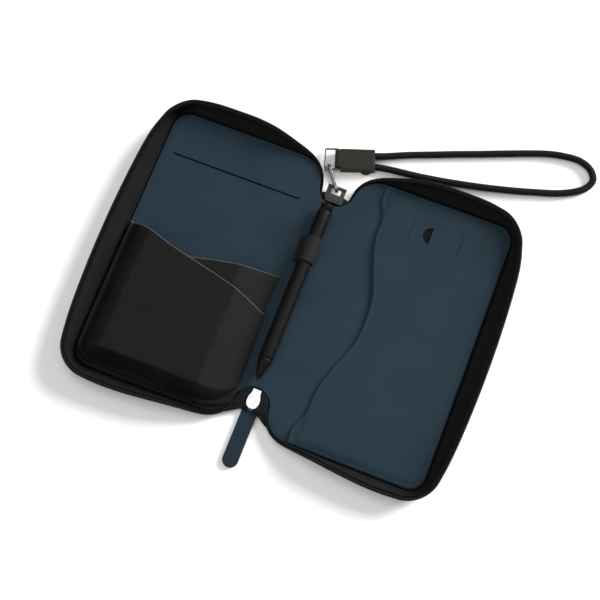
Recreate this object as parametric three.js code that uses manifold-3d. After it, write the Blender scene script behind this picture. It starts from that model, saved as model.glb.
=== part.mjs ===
// Zip-around passport holder with phone pocket, pen loop and wrist strap, lying open on its covers.
// Units are millimetres. X runs across the open case, Y along the spine towards the strap, Z up.
// The origin is on the underside, at the middle of the spine.

import * as THREE from 'three';
import { mergeVertices } from 'three/addons/utils/BufferGeometryUtils.js';
import Module from 'manifold-3d';

const wasm = await Module();
wasm.setup();

// ---- Driving dimensions ----

const SEAM = 0.3; // clearance between pieces that touch
const HINGE_X = 10.5; // fold lines, either side of the spine
const SPINE_HALF = HINGE_X - SEAM;
const COVER_EDGE = HINGE_X + SEAM;

const SKIN = [0, 1.2]; // outer fabric
const BOARD = [1.5, 2.9]; // stiffener
const THIN_BOARD = [1.5, 2.3]; // left stiffener, thinned for the card sleeve
const CARD_SLEEVE = [2.6, 2.9];
const LINING = [3.2, 4.2]; // inner leather, whose top is also the fold axis
const SIM_BACKING = [4.5, 4.9];
const PASSPORT_PANEL = [5.2, 6.2];

const PANEL_X = 119.3; // far edge of the lining
const PANEL_TOP = 92.5;
const PANEL_BOTTOM = -92;
const CORNER_R = 11.5;
const FLARE_X = 32; // where the notch flare ends
const BAND_END_X = 20; // where the zip tape, its coil and the piping end

const NOTCH_TOP_Y = 77.3;
const NOTCH_BOTTOM_Y = -77;
const NOTCH_R = 11.5;

const RIM_Z = 14.5; // top of the zip, half the spine width above the fold axis
const RIM_LOW_Z = 4.9;
const FLARE_SIDE = 13.0; // how far the wall leans out at the middle of the side
const FLARE_END = { top: 9.8, bottom: 8.8 }; // and at the top and bottom
const FLARE_RUN = { top: 58, bottom: 84 }; // length over which the lean grows from the notch
const CORNER_TUCK = { top: 4.0, bottom: 1.5 }; // how much less it leans round the corners
const CORNER_REACH = 17; // and how far from a corner that fades
const WALL = 1.9;
const WALL_LOW = 0.8; // wall beside the notches

const POCKET_LEFT = -118.4;
const POCKET_RIGHT = -11.6;
const POCKET_BOTTOM = -88.5;
const POCKET_HEIGHT = 10.8;
const POCKET_WALL = 1.1;

const PEN_X = -1.5;
const PEN_R = 4.7;
const PEN_Z = 10.2;
const PEN_TOP_Y = 63;

const ZIP_PIVOT = [0.7, -78, 1.5];
const TAB_BAR = [-1.8, 78.2, 3.6];
const STRAP_AT = [3.6, 100.2, 3.4];
const STRAP_TURN = 18.97; // degrees between the strap sleeve and X
const LINK_RING = [-16.3, -6.1]; // where the link holds the ring, in the strap's own frame
const CORD_R = 2.25;
const CORD_APART = 3.9; // from the sleeve's middle line to each end of the cord

// ---- Geometry helpers ----

const v2 = (x, y) => new THREE.Vector2(x, y);
const lerp = THREE.MathUtils.lerp;
const smooth = (t) => THREE.MathUtils.smoothstep(t, 0, 1);
const rad = THREE.MathUtils.degToRad;

function toGeometry(points, faces) {
  const geometry = new THREE.BufferGeometry();
  geometry.setAttribute('position', new THREE.Float32BufferAttribute(points.flat(), 3));
  geometry.setIndex(faces.flat());
  return geometry;
}

// Closed mesh from points and triangles, turned so that its faces point out.
function closed(points, faces) {
  let volume = 0;
  for (const [a, b, c] of faces) {
    const [p, q, r] = [points[a], points[b], points[c]];
    volume += p[0] * (q[1] * r[2] - q[2] * r[1]);
    volume += p[1] * (q[2] * r[0] - q[0] * r[2]);
    volume += p[2] * (q[0] * r[1] - q[1] * r[0]);
  }
  const outward = volume > 0 ? faces : faces.map(([a, b, c]) => [a, c, b]);
  return toGeometry(points, outward);
}

// Skins a stack of rings of equal length. Each end is capped, triangulated in the plane that flat gives.
function loft(rings, flat = (point) => v2(point[0], point[1])) {
  const n = rings[0].length;
  const faces = [];
  for (let k = 0; k + 1 < rings.length; k++) {
    for (let i = 0; i < n; i++) {
      const a = k * n + i;
      const b = k * n + ((i + 1) % n);
      faces.push([a, b, b + n], [a, b + n, a + n]);
    }
  }
  const last = (rings.length - 1) * n;
  const cap = (ring) => THREE.ShapeUtils.triangulateShape(ring.map(flat), []);
  const wound = (ring) => (THREE.ShapeUtils.area(ring.map(flat)) > 0 ? 1 : -1);
  for (const [a, b, c] of cap(rings[0])) faces.push(wound(rings[0]) > 0 ? [a, c, b] : [a, b, c]);
  const topRing = rings[rings.length - 1];
  for (const [a, b, c] of cap(topRing)) {
    const up = [last + a, last + b, last + c];
    faces.push(wound(topRing) > 0 ? up : [up[0], up[2], up[1]]);
  }
  return closed(rings.flat(), faces);
}

function toSolid(geometry) {
  const bare = geometry.clone();
  bare.deleteAttribute('normal');
  bare.deleteAttribute('uv');
  const merged = mergeVertices(bare, 1e-4);
  const mesh = new wasm.Mesh({
    numProp: 3,
    vertProperties: new Float32Array(merged.attributes.position.array),
    triVerts: new Uint32Array(merged.index.array),
  });
  return new wasm.Manifold(mesh);
}

function fromSolid(solid) {
  const mesh = solid.getMesh();
  const geometry = new THREE.BufferGeometry();
  geometry.setAttribute('position', new THREE.BufferAttribute(mesh.vertProperties, 3));
  geometry.setIndex(new THREE.BufferAttribute(mesh.triVerts, 1));
  return geometry;
}

function joined(first, ...others) {
  return fromSolid(others.reduce((sum, other) => sum.add(toSolid(other)), toSolid(first)));
}

function cut(first, ...tools) {
  return fromSolid(tools.reduce((rest, tool) => rest.subtract(toSolid(tool)), toSolid(first)));
}

// A flat piece: an outline in X and Y, between two heights.
function plate(outline, [low, high], curveSegments = 10) {
  const shape = Array.isArray(outline) ? new THREE.Shape(outline) : outline;
  const options = { depth: high - low, bevelEnabled: false, curveSegments };
  return new THREE.ExtrudeGeometry(shape, options).translate(0, 0, low);
}

function block([x0, x1], [y0, y1], [z0, z1]) {
  const geometry = new THREE.BoxGeometry(x1 - x0, y1 - y0, z1 - z0);
  return geometry.translate((x0 + x1) / 2, (y0 + y1) / 2, (z0 + z1) / 2);
}

// A rod of a given radius from one point to another.
function rod(from, to, radius, sides = 14) {
  const start = new THREE.Vector3(...from);
  const along = new THREE.Vector3(...to).sub(start);
  const geometry = new THREE.CylinderGeometry(radius, radius, along.length(), sides);
  const turn = new THREE.Quaternion().setFromUnitVectors(new THREE.Vector3(0, 1, 0), along.clone().normalize());
  return geometry.applyQuaternion(turn).translate(...start.add(along.multiplyScalar(0.5)).toArray());
}

// A round section carried along a smooth curve.
function tube(points, radius, sides, steps) {
  const curve = new THREE.CatmullRomCurve3(points.map((p) => new THREE.Vector3(...p)), false, 'centripetal');
  const ring = new THREE.Shape(polygonAt([0, 0], radius, sides).map(([x, y]) => v2(x, y)));
  return new THREE.ExtrudeGeometry(ring, { steps, extrudePath: curve, bevelEnabled: false });
}

const parts = new THREE.Group();

function add(name, geometry, finish, parent = parts) {
  const mesh = new THREE.Mesh(geometry, new THREE.MeshStandardMaterial(finish));
  mesh.name = name;
  parent.add(mesh);
  return mesh;
}

// ---- Finishes ----

const fabricBlack = { color: 0x1b1b1a, roughness: 0.9, metalness: 0 };
const zipBlack = { color: 0x141414, roughness: 0.6, metalness: 0 };
const boardGrey = { color: 0x55524c, roughness: 0.95, metalness: 0 };
const leatherBlue = { color: 0x233039, roughness: 0.6, metalness: 0 };
const pocketBlack = { color: 0x1f1f1d, roughness: 0.45, metalness: 0 };
const leatherBrown = { color: 0x373430, roughness: 0.6, metalness: 0 };
const tabBrown = { color: 0x383838, roughness: 0.6, metalness: 0 };
const pullerBlue = { color: 0x28364a, roughness: 0.55, metalness: 0 };
const elasticGrey = { color: 0x292929, roughness: 0.8, metalness: 0 };
const penBlack = { color: 0x211f20, roughness: 0.5, metalness: 0.1 };
const silver = { color: 0xb8b8bc, roughness: 0.25, metalness: 1 };
const cordBlack = { color: 0x191919, roughness: 0.85, metalness: 0 };

// ---- Outline of one cover ----

// Free edge of a cover's lining on the +X side, from the bottom notch round to the top notch.
function freeEdge() {
  const path = new THREE.Path();
  path.moveTo(COVER_EDGE, NOTCH_BOTTOM_Y + 4.7);
  path.bezierCurveTo(12.2, -85.5, 18.5, PANEL_BOTTOM, FLARE_X, PANEL_BOTTOM);
  path.lineTo(PANEL_X - CORNER_R, PANEL_BOTTOM);
  path.absarc(PANEL_X - CORNER_R, PANEL_BOTTOM + CORNER_R, CORNER_R, -Math.PI / 2, 0, false);
  path.lineTo(PANEL_X, PANEL_TOP - CORNER_R);
  path.absarc(PANEL_X - CORNER_R, PANEL_TOP - CORNER_R, CORNER_R, 0, Math.PI / 2, false);
  path.lineTo(FLARE_X, PANEL_TOP);
  path.bezierCurveTo(18.5, PANEL_TOP, 12.2, 86, COVER_EDGE, NOTCH_TOP_Y - 4.4);
  return path;
}

// Points along the free edge, each with its outward direction and how far the wall has risen there.
function edgeStations() {
  const curves = freeEdge().curves;
  const stations = [];
  curves.forEach((curve, index) => {
    const straight = curve.getLength() > 40;
    const divisions = straight ? 9 : 8;
    for (let i = index ? 1 : 0; i <= divisions; i++) {
      const t = i / divisions;
      const point = curve.getPoint(t);
      const along = curve.getTangent(t);
      const out = v2(along.y, -along.x);
      const rise = smooth((point.x - COVER_EDGE - 1) / 44);
      const bulge = 1 - 0.42 * (point.y / PANEL_TOP) ** 2;
      const end = point.y > 0 ? 'top' : 'bottom';
      const panelEnd = point.y > 0 ? PANEL_TOP : PANEL_BOTTOM;
      const away = Math.hypot(PANEL_X - point.x, panelEnd - point.y);
      const corner = Math.exp(-((away / CORNER_REACH) ** 2));
      const full = lerp(FLARE_END[end], FLARE_SIDE * bulge, Math.abs(out.x)) - CORNER_TUCK[end] * corner;
      const spread = smooth((point.x - COVER_EDGE - 1) / FLARE_RUN[end]);
      const start = smooth((point.x - COVER_EDGE - 0.3) / 1.6);
      const rimZ = lerp(RIM_LOW_Z, RIM_Z, rise);
      const wall = lerp(WALL_LOW, WALL, rise);
      const lean = lerp(0.5 + wall, full, spread);
      stations.push({ point, out, rise, start, wall, lean, rimZ });
    }
  });
  return stations;
}

const stations = edgeStations();

function offsetPoint(station, distance, side, nearest = COVER_EDGE) {
  const p = station.point.clone().addScaledVector(station.out, distance);
  return v2(side * Math.max(p.x, nearest), p.y);
}

// Closed outline of a cover panel, moved in or out from the lining's edge.
const coverOutline = (side, distance = -0.1) => stations.map((s) => offsetPoint(s, distance, side));

// Inner face of the wall at a station: distance out from the lining's edge, and height.
function wallInside(station) {
  const inner = station.lean - station.wall;
  return {
    foot: [0.35, SKIN[1]],
    lower: [0.45, lerp(4.2, 4.0, station.rise)],
    middle: [lerp(0.45, inner, 0.68), lerp(4.3, station.rimZ, 0.38)],
    rim: [inner, station.rimZ - 2.6 * station.rise],
  };
}

function wallOutside(station) {
  return {
    base: [0.7 + 1.1 * station.rise, SKIN[0]],
    middle: [lerp(1.1 + 0.5 * station.rise, station.lean, 0.8), lerp(0.4, station.rimZ, 0.42)],
    rim: [station.lean, station.rimZ - 2.6 * station.rise],
  };
}

// ---- Covers ----

const FOLD_STEP = 0.12; // the profile's points step in from the fold by this much each

function coverShell(side) {
  const profiles = stations.map((station) => {
    const inside = wallInside(station);
    const outside = wallOutside(station);
    return [outside.base, outside.middle, outside.rim, inside.rim, inside.middle, inside.lower, inside.foot];
  });
  const rings = profiles[0].map((_, k) => {
    const ring = stations.map((station, i) => {
      const [distance, z] = profiles[i][k];
      const p = offsetPoint(station, distance, side, COVER_EDGE + FOLD_STEP * k);
      return [p.x, p.y, k ? lerp(SKIN[1], z, station.start) : z];
    });
    // The fold edge is a low upright face, so its points step in from the fold as the profile goes round.
    const foldX = side * (COVER_EDGE + FOLD_STEP * k);
    const foldZ = Math.min(k * 0.45, SKIN[1]);
    const first = ring[0];
    const last = ring[ring.length - 1];
    const inset = 2.4 + 0.2 * k;
    const fold = [[foldX, last[1] - inset, foldZ], [foldX, 0, foldZ], [foldX, first[1] + inset, foldZ]];
    return [...ring, ...fold];
  });
  return loft(rings);
}

// A band that follows the wall's rim, given its corners at each station as distances and heights.
// Its ends stand across Y, beside the notches.
function rimBand(side, corners) {
  const used = stations.filter((station) => station.point.x > BAND_END_X);
  const rings = used.map((station) => corners(station).map(([distance, z]) => {
    const p = offsetPoint(station, distance, side);
    return [p.x, p.y, z];
  }));
  return loft(rings, ([, y, z]) => v2(y, z));
}

function polygonAt([distance, z], radius, sides) {
  return Array.from({ length: sides }, (_, i) => {
    const angle = (2 * Math.PI * i) / sides;
    return [distance + radius * Math.cos(angle), z + radius * Math.sin(angle)];
  });
}

// Piping that finishes the rim of the wall.
function rimPiping(side) {
  return rimBand(side, (s) => {
    const radius = 0.9 * s.rise + 0.1;
    return polygonAt([s.lean - s.wall / 2, wallInside(s).rim[1] + SEAM + radius], radius, 8);
  });
}

// Woven tape of the zip, sewn to the inner face of the wall below the rim.
function zipTape(side) {
  return rimBand(side, (s) => {
    const { middle, rim } = wallInside(s);
    const low = [lerp(middle[0], rim[0], 0.35) - 0.4, lerp(middle[1], rim[1], 0.35)];
    const high = [rim[0] - 0.4, rim[1] + 1.2 * s.rise];
    const thick = 0.3 + 0.3 * s.rise;
    return [low, high, [high[0] - thick, high[1]], [low[0] - thick, low[1]]];
  });
}

// Coil teeth at the free edge of the tape.
function zipCoil(side) {
  return rimBand(side, (s) => {
    const { rim } = wallInside(s);
    return polygonAt([rim[0] - 0.85, rim[1] + 1.2 * s.rise + 0.3 + 0.6 * s.rise], 0.55 * s.rise + 0.05, 6);
  });
}

const boardOutline = (side) => coverOutline(side, -1);

// Left lining with the long slot that a bank card slides into.
function leftLining() {
  const slot = block([-111, -21], [61.6, 62.4], [LINING[0] - 1, LINING[1] + 1]);
  return cut(plate(coverOutline(-1), LINING), slot);
}

// ---- Phone pocket ----

// Share of the pocket's full height, from nothing at its outline to one on its flat face.
function pocketRise(fromLeft, fromRight, fromBottom) {
  const left = THREE.MathUtils.clamp(fromLeft / 14, 0, 1);
  const right = THREE.MathUtils.clamp(fromRight / 23.6, 0, 1);
  const low = THREE.MathUtils.clamp(fromBottom / 9, 0, 1);
  return Math.max(0, 1 - Math.hypot(1 - left, 1 - right, 1 - low));
}

function pocketBottom(x) {
  return POCKET_BOTTOM + 10 * THREE.MathUtils.clamp((x + 40) / 28.6, 0, 1) ** 3;
}

const CORNER_ROWS = 5; // rows of points close together over the pocket's lower bevel
const CORNER_SHARE = 0.15; // and the share of the pocket that they cover

// One layer of the pocket: a curved sheet over the pocket's outline, open along its top edge.
function pocketLayer(topEdge, baseZ, height, inset, columns = 18, rows = 12) {
  const edgeCurve = new THREE.SplineCurve(topEdge.map(([x, y]) => v2(x, y)));
  const cornerR = 12 - inset;
  const left = POCKET_LEFT + inset;
  const right = POCKET_RIGHT - inset;
  const topRight = topEdge[topEdge.length - 1][0];
  const topPoints = [];
  const lowerPoints = [];
  for (let j = 0; j <= rows; j++) {
    for (let i = 0; i <= columns; i++) {
      const u = i / columns;
      const top = edgeCurve.getPoint(u);
      const bottom = pocketBottom(lerp(left, right, u) + inset) + inset;
      const above = (j - CORNER_ROWS) / (rows - CORNER_ROWS);
      const v = j < CORNER_ROWS ? (j / CORNER_ROWS) * CORNER_SHARE : lerp(CORNER_SHARE, 1, above);
      const y = lerp(bottom, top.y, v);
      const up = Math.min(y - POCKET_BOTTOM - inset, cornerR);
      const pull = cornerR - Math.sqrt(Math.max(cornerR ** 2 - (cornerR - up) ** 2, 0));
      const x = lerp(left + pull, lerp(right, topRight, v), u);
      const z = baseZ + height * pocketRise(x - left, right - x, y - bottom);
      topPoints.push([x, y, z + POCKET_WALL]);
      lowerPoints.push([x, y, z]);
    }
  }
  return sheetSolid(topPoints, lowerPoints, columns, rows);
}

// Closes two matching grids of points, upper and lower, into one solid sheet.
function sheetSolid(upper, lower, columns, rows) {
  const count = upper.length;
  const at = (i, j) => j * (columns + 1) + i;
  const faces = [];
  for (let j = 0; j < rows; j++) {
    for (let i = 0; i < columns; i++) {
      const [a, b, c, d] = [at(i, j), at(i + 1, j), at(i + 1, j + 1), at(i, j + 1)];
      faces.push([a, b, c], [a, c, d], [count + a, count + c, count + b], [count + a, count + d, count + c]);
    }
  }
  const border = [];
  for (let i = 0; i < columns; i++) border.push([at(i, 0), at(i + 1, 0)]);
  for (let j = 0; j < rows; j++) border.push([at(columns, j), at(columns, j + 1)]);
  for (let i = columns; i > 0; i--) border.push([at(i, rows), at(i - 1, rows)]);
  for (let j = rows; j > 0; j--) border.push([at(0, j), at(0, j - 1)]);
  for (const [a, b] of border) faces.push([a, count + b, b], [a, count + a, count + b]);
  return closed([...upper, ...lower], faces);
}

const FRONT_EDGE = [[-118.4, 7.5], [-102, 4.5], [-84, -1], [-64, -5.5], [-46, -9.5], [-30, -14], [-13.6, -20]];
const BACK_EDGE = [[-114.9, -12], [-100, -10], [-80, -5.5], [-64, -1.5], [-46, 2.5], [-30, 5], [-13.9, 7]];

// ---- Right side ----

// Mouth of the passport pocket, from bottom to top: a wavy cut with a shallow scoop in the middle.
const MOUTH = [[30.5, -90], [30.5, -80], [35, -69], [35.5, -55], [40, -38], [47, -18], [49, 0],
  [47, 18], [40, 38], [35.5, 55], [35, 69], [30.5, 80], [30.5, 90]];

function passportPocketPanel() {
  const edge = new THREE.SplineCurve(MOUTH.map(([x, y]) => v2(x, y))).getPoints(48);
  const inner = coverOutline(1, -1.2).filter((p) => p.x > 31);
  const panel = plate([...inner, ...edge.reverse()], PASSPORT_PANEL);
  const through = [PASSPORT_PANEL[0] - 1, PASSPORT_PANEL[1] + 1];
  const halfMoon = new THREE.Shape();
  halfMoon.moveTo(68.5, 62.5);
  halfMoon.lineTo(68.5, 74);
  halfMoon.bezierCurveTo(61.2, 73, 61.2, 63.5, 68.5, 62.5);
  const slits = [54.5, 88.5].map((x) => block([x - 0.3, x + 0.3], [61, 76], through));
  return cut(panel, plate(halfMoon, through), ...slits);
}

// ---- Spine ----

function spineOutline() {
  const shape = new THREE.Shape();
  const lowArc = Math.acos(SPINE_HALF / NOTCH_R);
  shape.absarc(0, NOTCH_BOTTOM_Y, NOTCH_R, Math.PI - lowArc, lowArc, true);
  shape.absarc(0, NOTCH_TOP_Y, NOTCH_R, -lowArc, -Math.PI + lowArc, true);
  return shape;
}

// Black crescent that finishes the shell inside the top notch.
function topGusset() {
  const shape = new THREE.Shape();
  shape.absarc(0, NOTCH_TOP_Y, NOTCH_R - SEAM, rad(206), rad(334), false);
  shape.absarc(0, NOTCH_TOP_Y, 6.4, rad(326), rad(214), true);
  return plate(shape, [1.6, 2.8], 12);
}

// Zip ends that cross the bottom notch, slotted for the slider's post.
function bottomGusset() {
  const shape = new THREE.Shape();
  const arc = Math.acos(9.9 / (NOTCH_R - SEAM));
  shape.absarc(0, NOTCH_BOTTOM_Y, NOTCH_R - SEAM, Math.PI - arc, arc, true);
  shape.lineTo(9.9, -85.2);
  shape.quadraticCurveTo(7.2, -81.4, 2.2, -80.9);
  shape.lineTo(2.2, -75.2);
  shape.lineTo(-0.8, -75.2);
  shape.lineTo(-0.8, -80.9);
  shape.quadraticCurveTo(-7.2, -81.0, -9.9, -82.8);
  return plate(shape, [3.4, 4.1], 12);
}

// Leather band that holds the pen, with a flange sewn to the spine.
function penLoop() {
  const [low, high] = [21, 38.5];
  const ring = rod([PEN_X, low, PEN_Z], [PEN_X, high, PEN_Z], PEN_R + 1.0, 32);
  const flange = block([-10, PEN_X], [low, high], [4.5, 5.35]);
  const bore = rod([PEN_X, low - 1, PEN_Z], [PEN_X, high + 1, PEN_Z], PEN_R + SEAM, 32);
  return cut(joined(ring, flange), bore);
}

// Leather tab sewn to the spine's end, with a rolled bar that the link hangs on.
function anchorTab() {
  const [, barY, barZ] = TAB_BAR;
  const leg = [3.0, 4.2];
  const base = block([-5.2, 6.2], [67.6, 73.2], leg);
  const legs = [[-6.6, -3.7], [3.1, 6]].map((x) => block(x, [69.5, barY], leg));
  const bar = rod([-6.6, barY, barZ], [6, barY, barZ], 1.2);
  return joined(base, ...legs, bar);
}

// ---- Zip slider and puller ----

function sliderPlate(heights) {
  const [x] = ZIP_PIVOT;
  const shape = new THREE.Shape();
  shape.moveTo(x - 2.7, -66.4);
  shape.lineTo(x - 2.8, -69.3);
  shape.quadraticCurveTo(x - 4.2, -71.2, x - 4, -73.6);
  shape.quadraticCurveTo(x - 3.8, -78.4, x, -79);
  shape.quadraticCurveTo(x + 3.8, -78.4, x + 4, -73.6);
  shape.quadraticCurveTo(x + 4.2, -71.2, x + 2.8, -69.3);
  shape.lineTo(x + 2.7, -66.4);
  return plate(shape, heights, 6);
}

function zipSlider() {
  const [x, y, z] = ZIP_PIVOT;
  const post = block([x - 0.8, x + 0.8], [-78, -76], [2.6, 4.7]);
  const eye = rod([x - 1.1, y, z], [x + 1.1, y, z], 1.2, 16);
  const neck = block([x - 1.1, x + 1.1], [y - 0.7, y + 0.7], [z + 0.8, 2.7]);
  const hole = rod([x - 2, y, z], [x + 2, y, z], 0.8, 12);
  return cut(joined(sliderPlate([4.4, 5.2]), sliderPlate([2.3, 3.1]), post, eye, neck), hole);
}

// Wire loop between the slider's eye and the leather puller.
function pullerWire() {
  const [x, y, z] = ZIP_PIVOT;
  const corners = [[x - 2.4, y], [x + 2.4, y], [x + 2.4, y - 4.6], [x - 2.4, y - 4.6]];
  const bars = corners.map((p, i) => {
    const q = corners[(i + 1) % 4];
    return rod([p[0], p[1], z], [q[0], q[1], z], 0.5, 8);
  });
  const joints = corners.map(([px, py]) => new THREE.SphereGeometry(0.5, 8, 6).translate(px, py, z));
  return joined(...bars, ...joints);
}

function pullerTab() {
  const [x, y, z] = ZIP_PIVOT;
  const half = 5.1;
  const shape = new THREE.Shape();
  shape.moveTo(x - half, y - 2);
  shape.lineTo(x - half, -113.3);
  shape.absarc(x, -113.3, half, Math.PI, 2 * Math.PI, false);
  shape.lineTo(x + half, y - 2);
  const wireRoom = block([x - 3.2, x + 3.2], [y - 5.4, y], [z - 0.8, z + 0.8]);
  return cut(plate(shape, [0.3, 2.7], 14), wireRoom);
}

// ---- Wrist strap ----

const strap = new THREE.Group();
strap.position.set(...STRAP_AT);
strap.rotation.z = rad(STRAP_TURN);

function strapPoint(a, b) {
  const turn = rad(STRAP_TURN);
  return [
    STRAP_AT[0] + a * Math.cos(turn) - b * Math.sin(turn),
    STRAP_AT[1] + a * Math.sin(turn) + b * Math.cos(turn),
  ];
}

// Long link of flat metal, on edge, between the tab's bar and the ring.
function strapLink() {
  const from = v2(TAB_BAR[0], TAB_BAR[1]);
  const to = v2(...strapPoint(...LINK_RING));
  const way = to.clone().sub(from);
  const length = way.length();
  const [inner, outer, play] = [1.8, 2.65, 1.2];
  const oval = (shape, radius) => {
    shape.absarc(-play, 0, radius, Math.PI / 2, 1.5 * Math.PI, false);
    shape.absarc(length + play * 0.6, 0, radius, -Math.PI / 2, Math.PI / 2, false);
    return shape;
  };
  const shape = oval(new THREE.Shape(), outer);
  shape.holes.push(oval(new THREE.Path(), inner));
  const width = 2;
  const geometry = new THREE.ExtrudeGeometry(shape, { depth: width, bevelEnabled: false, curveSegments: 12 });
  geometry.translate(0, 0, -width / 2).rotateX(Math.PI / 2).rotateZ(way.angle());
  return geometry.translate(from.x, from.y, TAB_BAR[2]);
}

// Rectangular wire ring, half of it inside the folded end of the sleeve.
function strapRing() {
  const r = 0.65;
  const corners = [[-19.5, -6.1], [-10.6, -6.1], [-10.6, 8.0], [-19.5, 8.0]];
  const bars = corners.map((p, i) => {
    const q = corners[(i + 1) % 4];
    return rod([p[0], p[1], 0], [q[0], q[1], 0], r, 12);
  });
  const joints = corners.map(([a, b]) => new THREE.SphereGeometry(r, 12, 8).translate(a, b, 0));
  return joined(...bars, ...joints);
}

const SNAP_AT = [7.5, -4.3];
const SNAP_R = 4.4;

// Leather sleeve folded round the ring's bar, with the cord's two ends inside.
function strapSleeve() {
  const [low, high] = [-7.1, 7.5];
  const shape = new THREE.Shape();
  const [r, end] = [2.2, 13.25];
  const half = 3.0;
  shape.absarc(-end + r, half - r, r, Math.PI / 2, Math.PI, false);
  shape.absarc(-end + r, -half + r, r, Math.PI, 1.5 * Math.PI, false);
  shape.absarc(end - 0.8, -half + 0.8, 0.8, -Math.PI / 2, 0, false);
  shape.absarc(end - 0.8, half - 0.8, 0.8, 0, Math.PI / 2, false);
  const body = new THREE.ExtrudeGeometry(shape, { depth: high - low, bevelEnabled: false, curveSegments: 6 });
  body.rotateX(Math.PI / 2).translate(0, high, 0);
  const ringRoom = block([-11.7, -9.5], [low - 1, high + 1], [-1.05, 1.05]);
  const sides = [[low - 1, -5.2], [7.05, high + 1]].map((y) => block([-14, -9.5], y, [-4, 4]));
  const cordRooms = [-CORD_APART, CORD_APART].map((b) => rod([3, b, 0], [end + 1, b, 0], CORD_R + SEAM, 12));
  const snapRoom = rod([...SNAP_AT, -4], [...SNAP_AT, -2.4], SNAP_R + SEAM, 24);
  return cut(body, ringRoom, ...sides, ...cordRooms, snapRoom);
}

const CORD_LIE = CORD_R + 0.15; // height of the cord's middle where it lies on the surface
const CORD_STEP = CORD_LIE + 0.3; // and where it starts to climb to the sleeve
const CORD_ROUTE = [[22, 111.2, CORD_STEP], [35, 117.2], [49.8, 123.2], [65, 129.4], [80, 135.3], [95, 141.4],
  [110.2, 147.4], [121, 151.2], [130.4, 153.4], [142.5, 154.2], [150.8, 150.9], [154.9, 144.4], [151.8, 137],
  [140.4, 129.3], [120.3, 122.2], [95.1, 115.2], [70, 109.6], [49.8, 105.9, CORD_STEP]];

// Wrist cord: both ends go into the sleeve and the loop lies flat on the surface.
function wristCord() {
  const inSleeve = (a, b) => [...strapPoint(a, b), STRAP_AT[2]];
  const points = [
    inSleeve(5.25, CORD_APART),
    inSleeve(15, CORD_APART),
    ...CORD_ROUTE.map(([x, y, z = CORD_LIE]) => [x, y, z]),
    inSleeve(15, -CORD_APART),
    inSleeve(5.25, -CORD_APART),
  ];
  return tube(points, CORD_R, 8, 64);
}

// ---- Pen ----

const latheAlongY = (profile, segments = 24) => {
  const points = profile.map(([radius, y]) => v2(radius, y));
  return new THREE.LatheGeometry(points, segments).translate(PEN_X, 0, PEN_Z);
};

function penBarrel() {
  return latheAlongY([[0, -46.6], [3.2, -46.6], [3.2, -46.8], [PEN_R - 0.1, -46.8], [PEN_R, -40], [PEN_R, 30],
    [PEN_R - 0.1, 57.6], [4.4, 58], [4.25, 58], [4.25, 54], [0, 54]]);
}

function penCone() {
  return latheAlongY([[1.1, -47.1], [1.1, -59.5], [1.55, -59.5], [4.3, -49.5], [4.5, -47.1], [1.1, -47.1]]);
}

function penButton() {
  const edge = PEN_TOP_Y - 0.4;
  return latheAlongY([[0, 56.8], [3.95, 56.8], [3.95, edge], [3.5, PEN_TOP_Y], [0, PEN_TOP_Y]]);
}

function penRefill() {
  return latheAlongY([[0, -61.5], [0.35, -61.3], [0.8, -59.8], [0.8, -50], [0, -50]], 12);
}

// ---- Assembly ----

for (const [side, word] of [[-1, 'left'], [1, 'right']]) {
  add(`${word}_cover_shell`, coverShell(side), fabricBlack);
  add(`${word}_board`, plate(boardOutline(side), side < 0 ? THIN_BOARD : BOARD), boardGrey);
  add(`${word}_rim_piping`, rimPiping(side), fabricBlack);
  add(`${word}_zip_tape`, zipTape(side), zipBlack);
  add(`${word}_zip_coil`, zipCoil(side), zipBlack);
}
add('left_card_sleeve', block([-114, -18], [8, 64], CARD_SLEEVE), fabricBlack);
add('left_lining', leftLining(), leatherBlue);
add('phone_pocket_front', pocketLayer(FRONT_EDGE, 4.6, POCKET_HEIGHT, 0), pocketBlack);
add('phone_pocket_back', pocketLayer(BACK_EDGE, 4.5, POCKET_HEIGHT - 2.1, 3.5), pocketBlack);
add('right_lining', plate(coverOutline(1), LINING), leatherBlue);
add('sim_pocket_backing', block([50, 93], [54, 82], SIM_BACKING), fabricBlack);
add('passport_pocket_panel', passportPocketPanel(), leatherBlue);

add('spine_cover', plate(spineOutline(), SKIN), fabricBlack);
add('spine_board', plate(spineOutline(), BOARD), boardGrey);
add('spine_lining', plate(spineOutline(), LINING), leatherBlue);
add('top_gusset', topGusset(), fabricBlack);
add('bottom_gusset', bottomGusset(), zipBlack);
add('pen_loop', penLoop(), elasticGrey);
add('anchor_tab', anchorTab(), tabBrown);

add('zip_slider', zipSlider(), silver);
add('puller_wire', pullerWire(), silver);
add('puller_tab', pullerTab(), pullerBlue);

add('strap_link', strapLink(), silver);
add('strap_ring', strapRing(), silver, strap);
add('strap_sleeve', strapSleeve(), leatherBrown, strap);
add('snap_button', rod([...SNAP_AT, -3.1], [...SNAP_AT, -2.7], SNAP_R, 24), silver, strap);
parts.add(strap);
add('wrist_cord', wristCord(), cordBlack);

add('pen_barrel', penBarrel(), penBlack);
add('pen_cone', penCone(), penBlack);
add('pen_button', penButton(), penBlack);
add('pen_refill', penRefill(), silver);

export default parts;
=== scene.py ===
"""Looks of a zip-around passport holder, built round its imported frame.

Lengths are millimetres, and each mesh is turned into metres as it is made. X runs across the open case,
Y along the spine towards the strap, and Z up. The origin is under the middle of the spine.
"""

import math

import bmesh
import bpy
import numpy as np
from mathutils import Matrix, Vector
from mathutils.geometry import delaunay_2d_cdt


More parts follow.
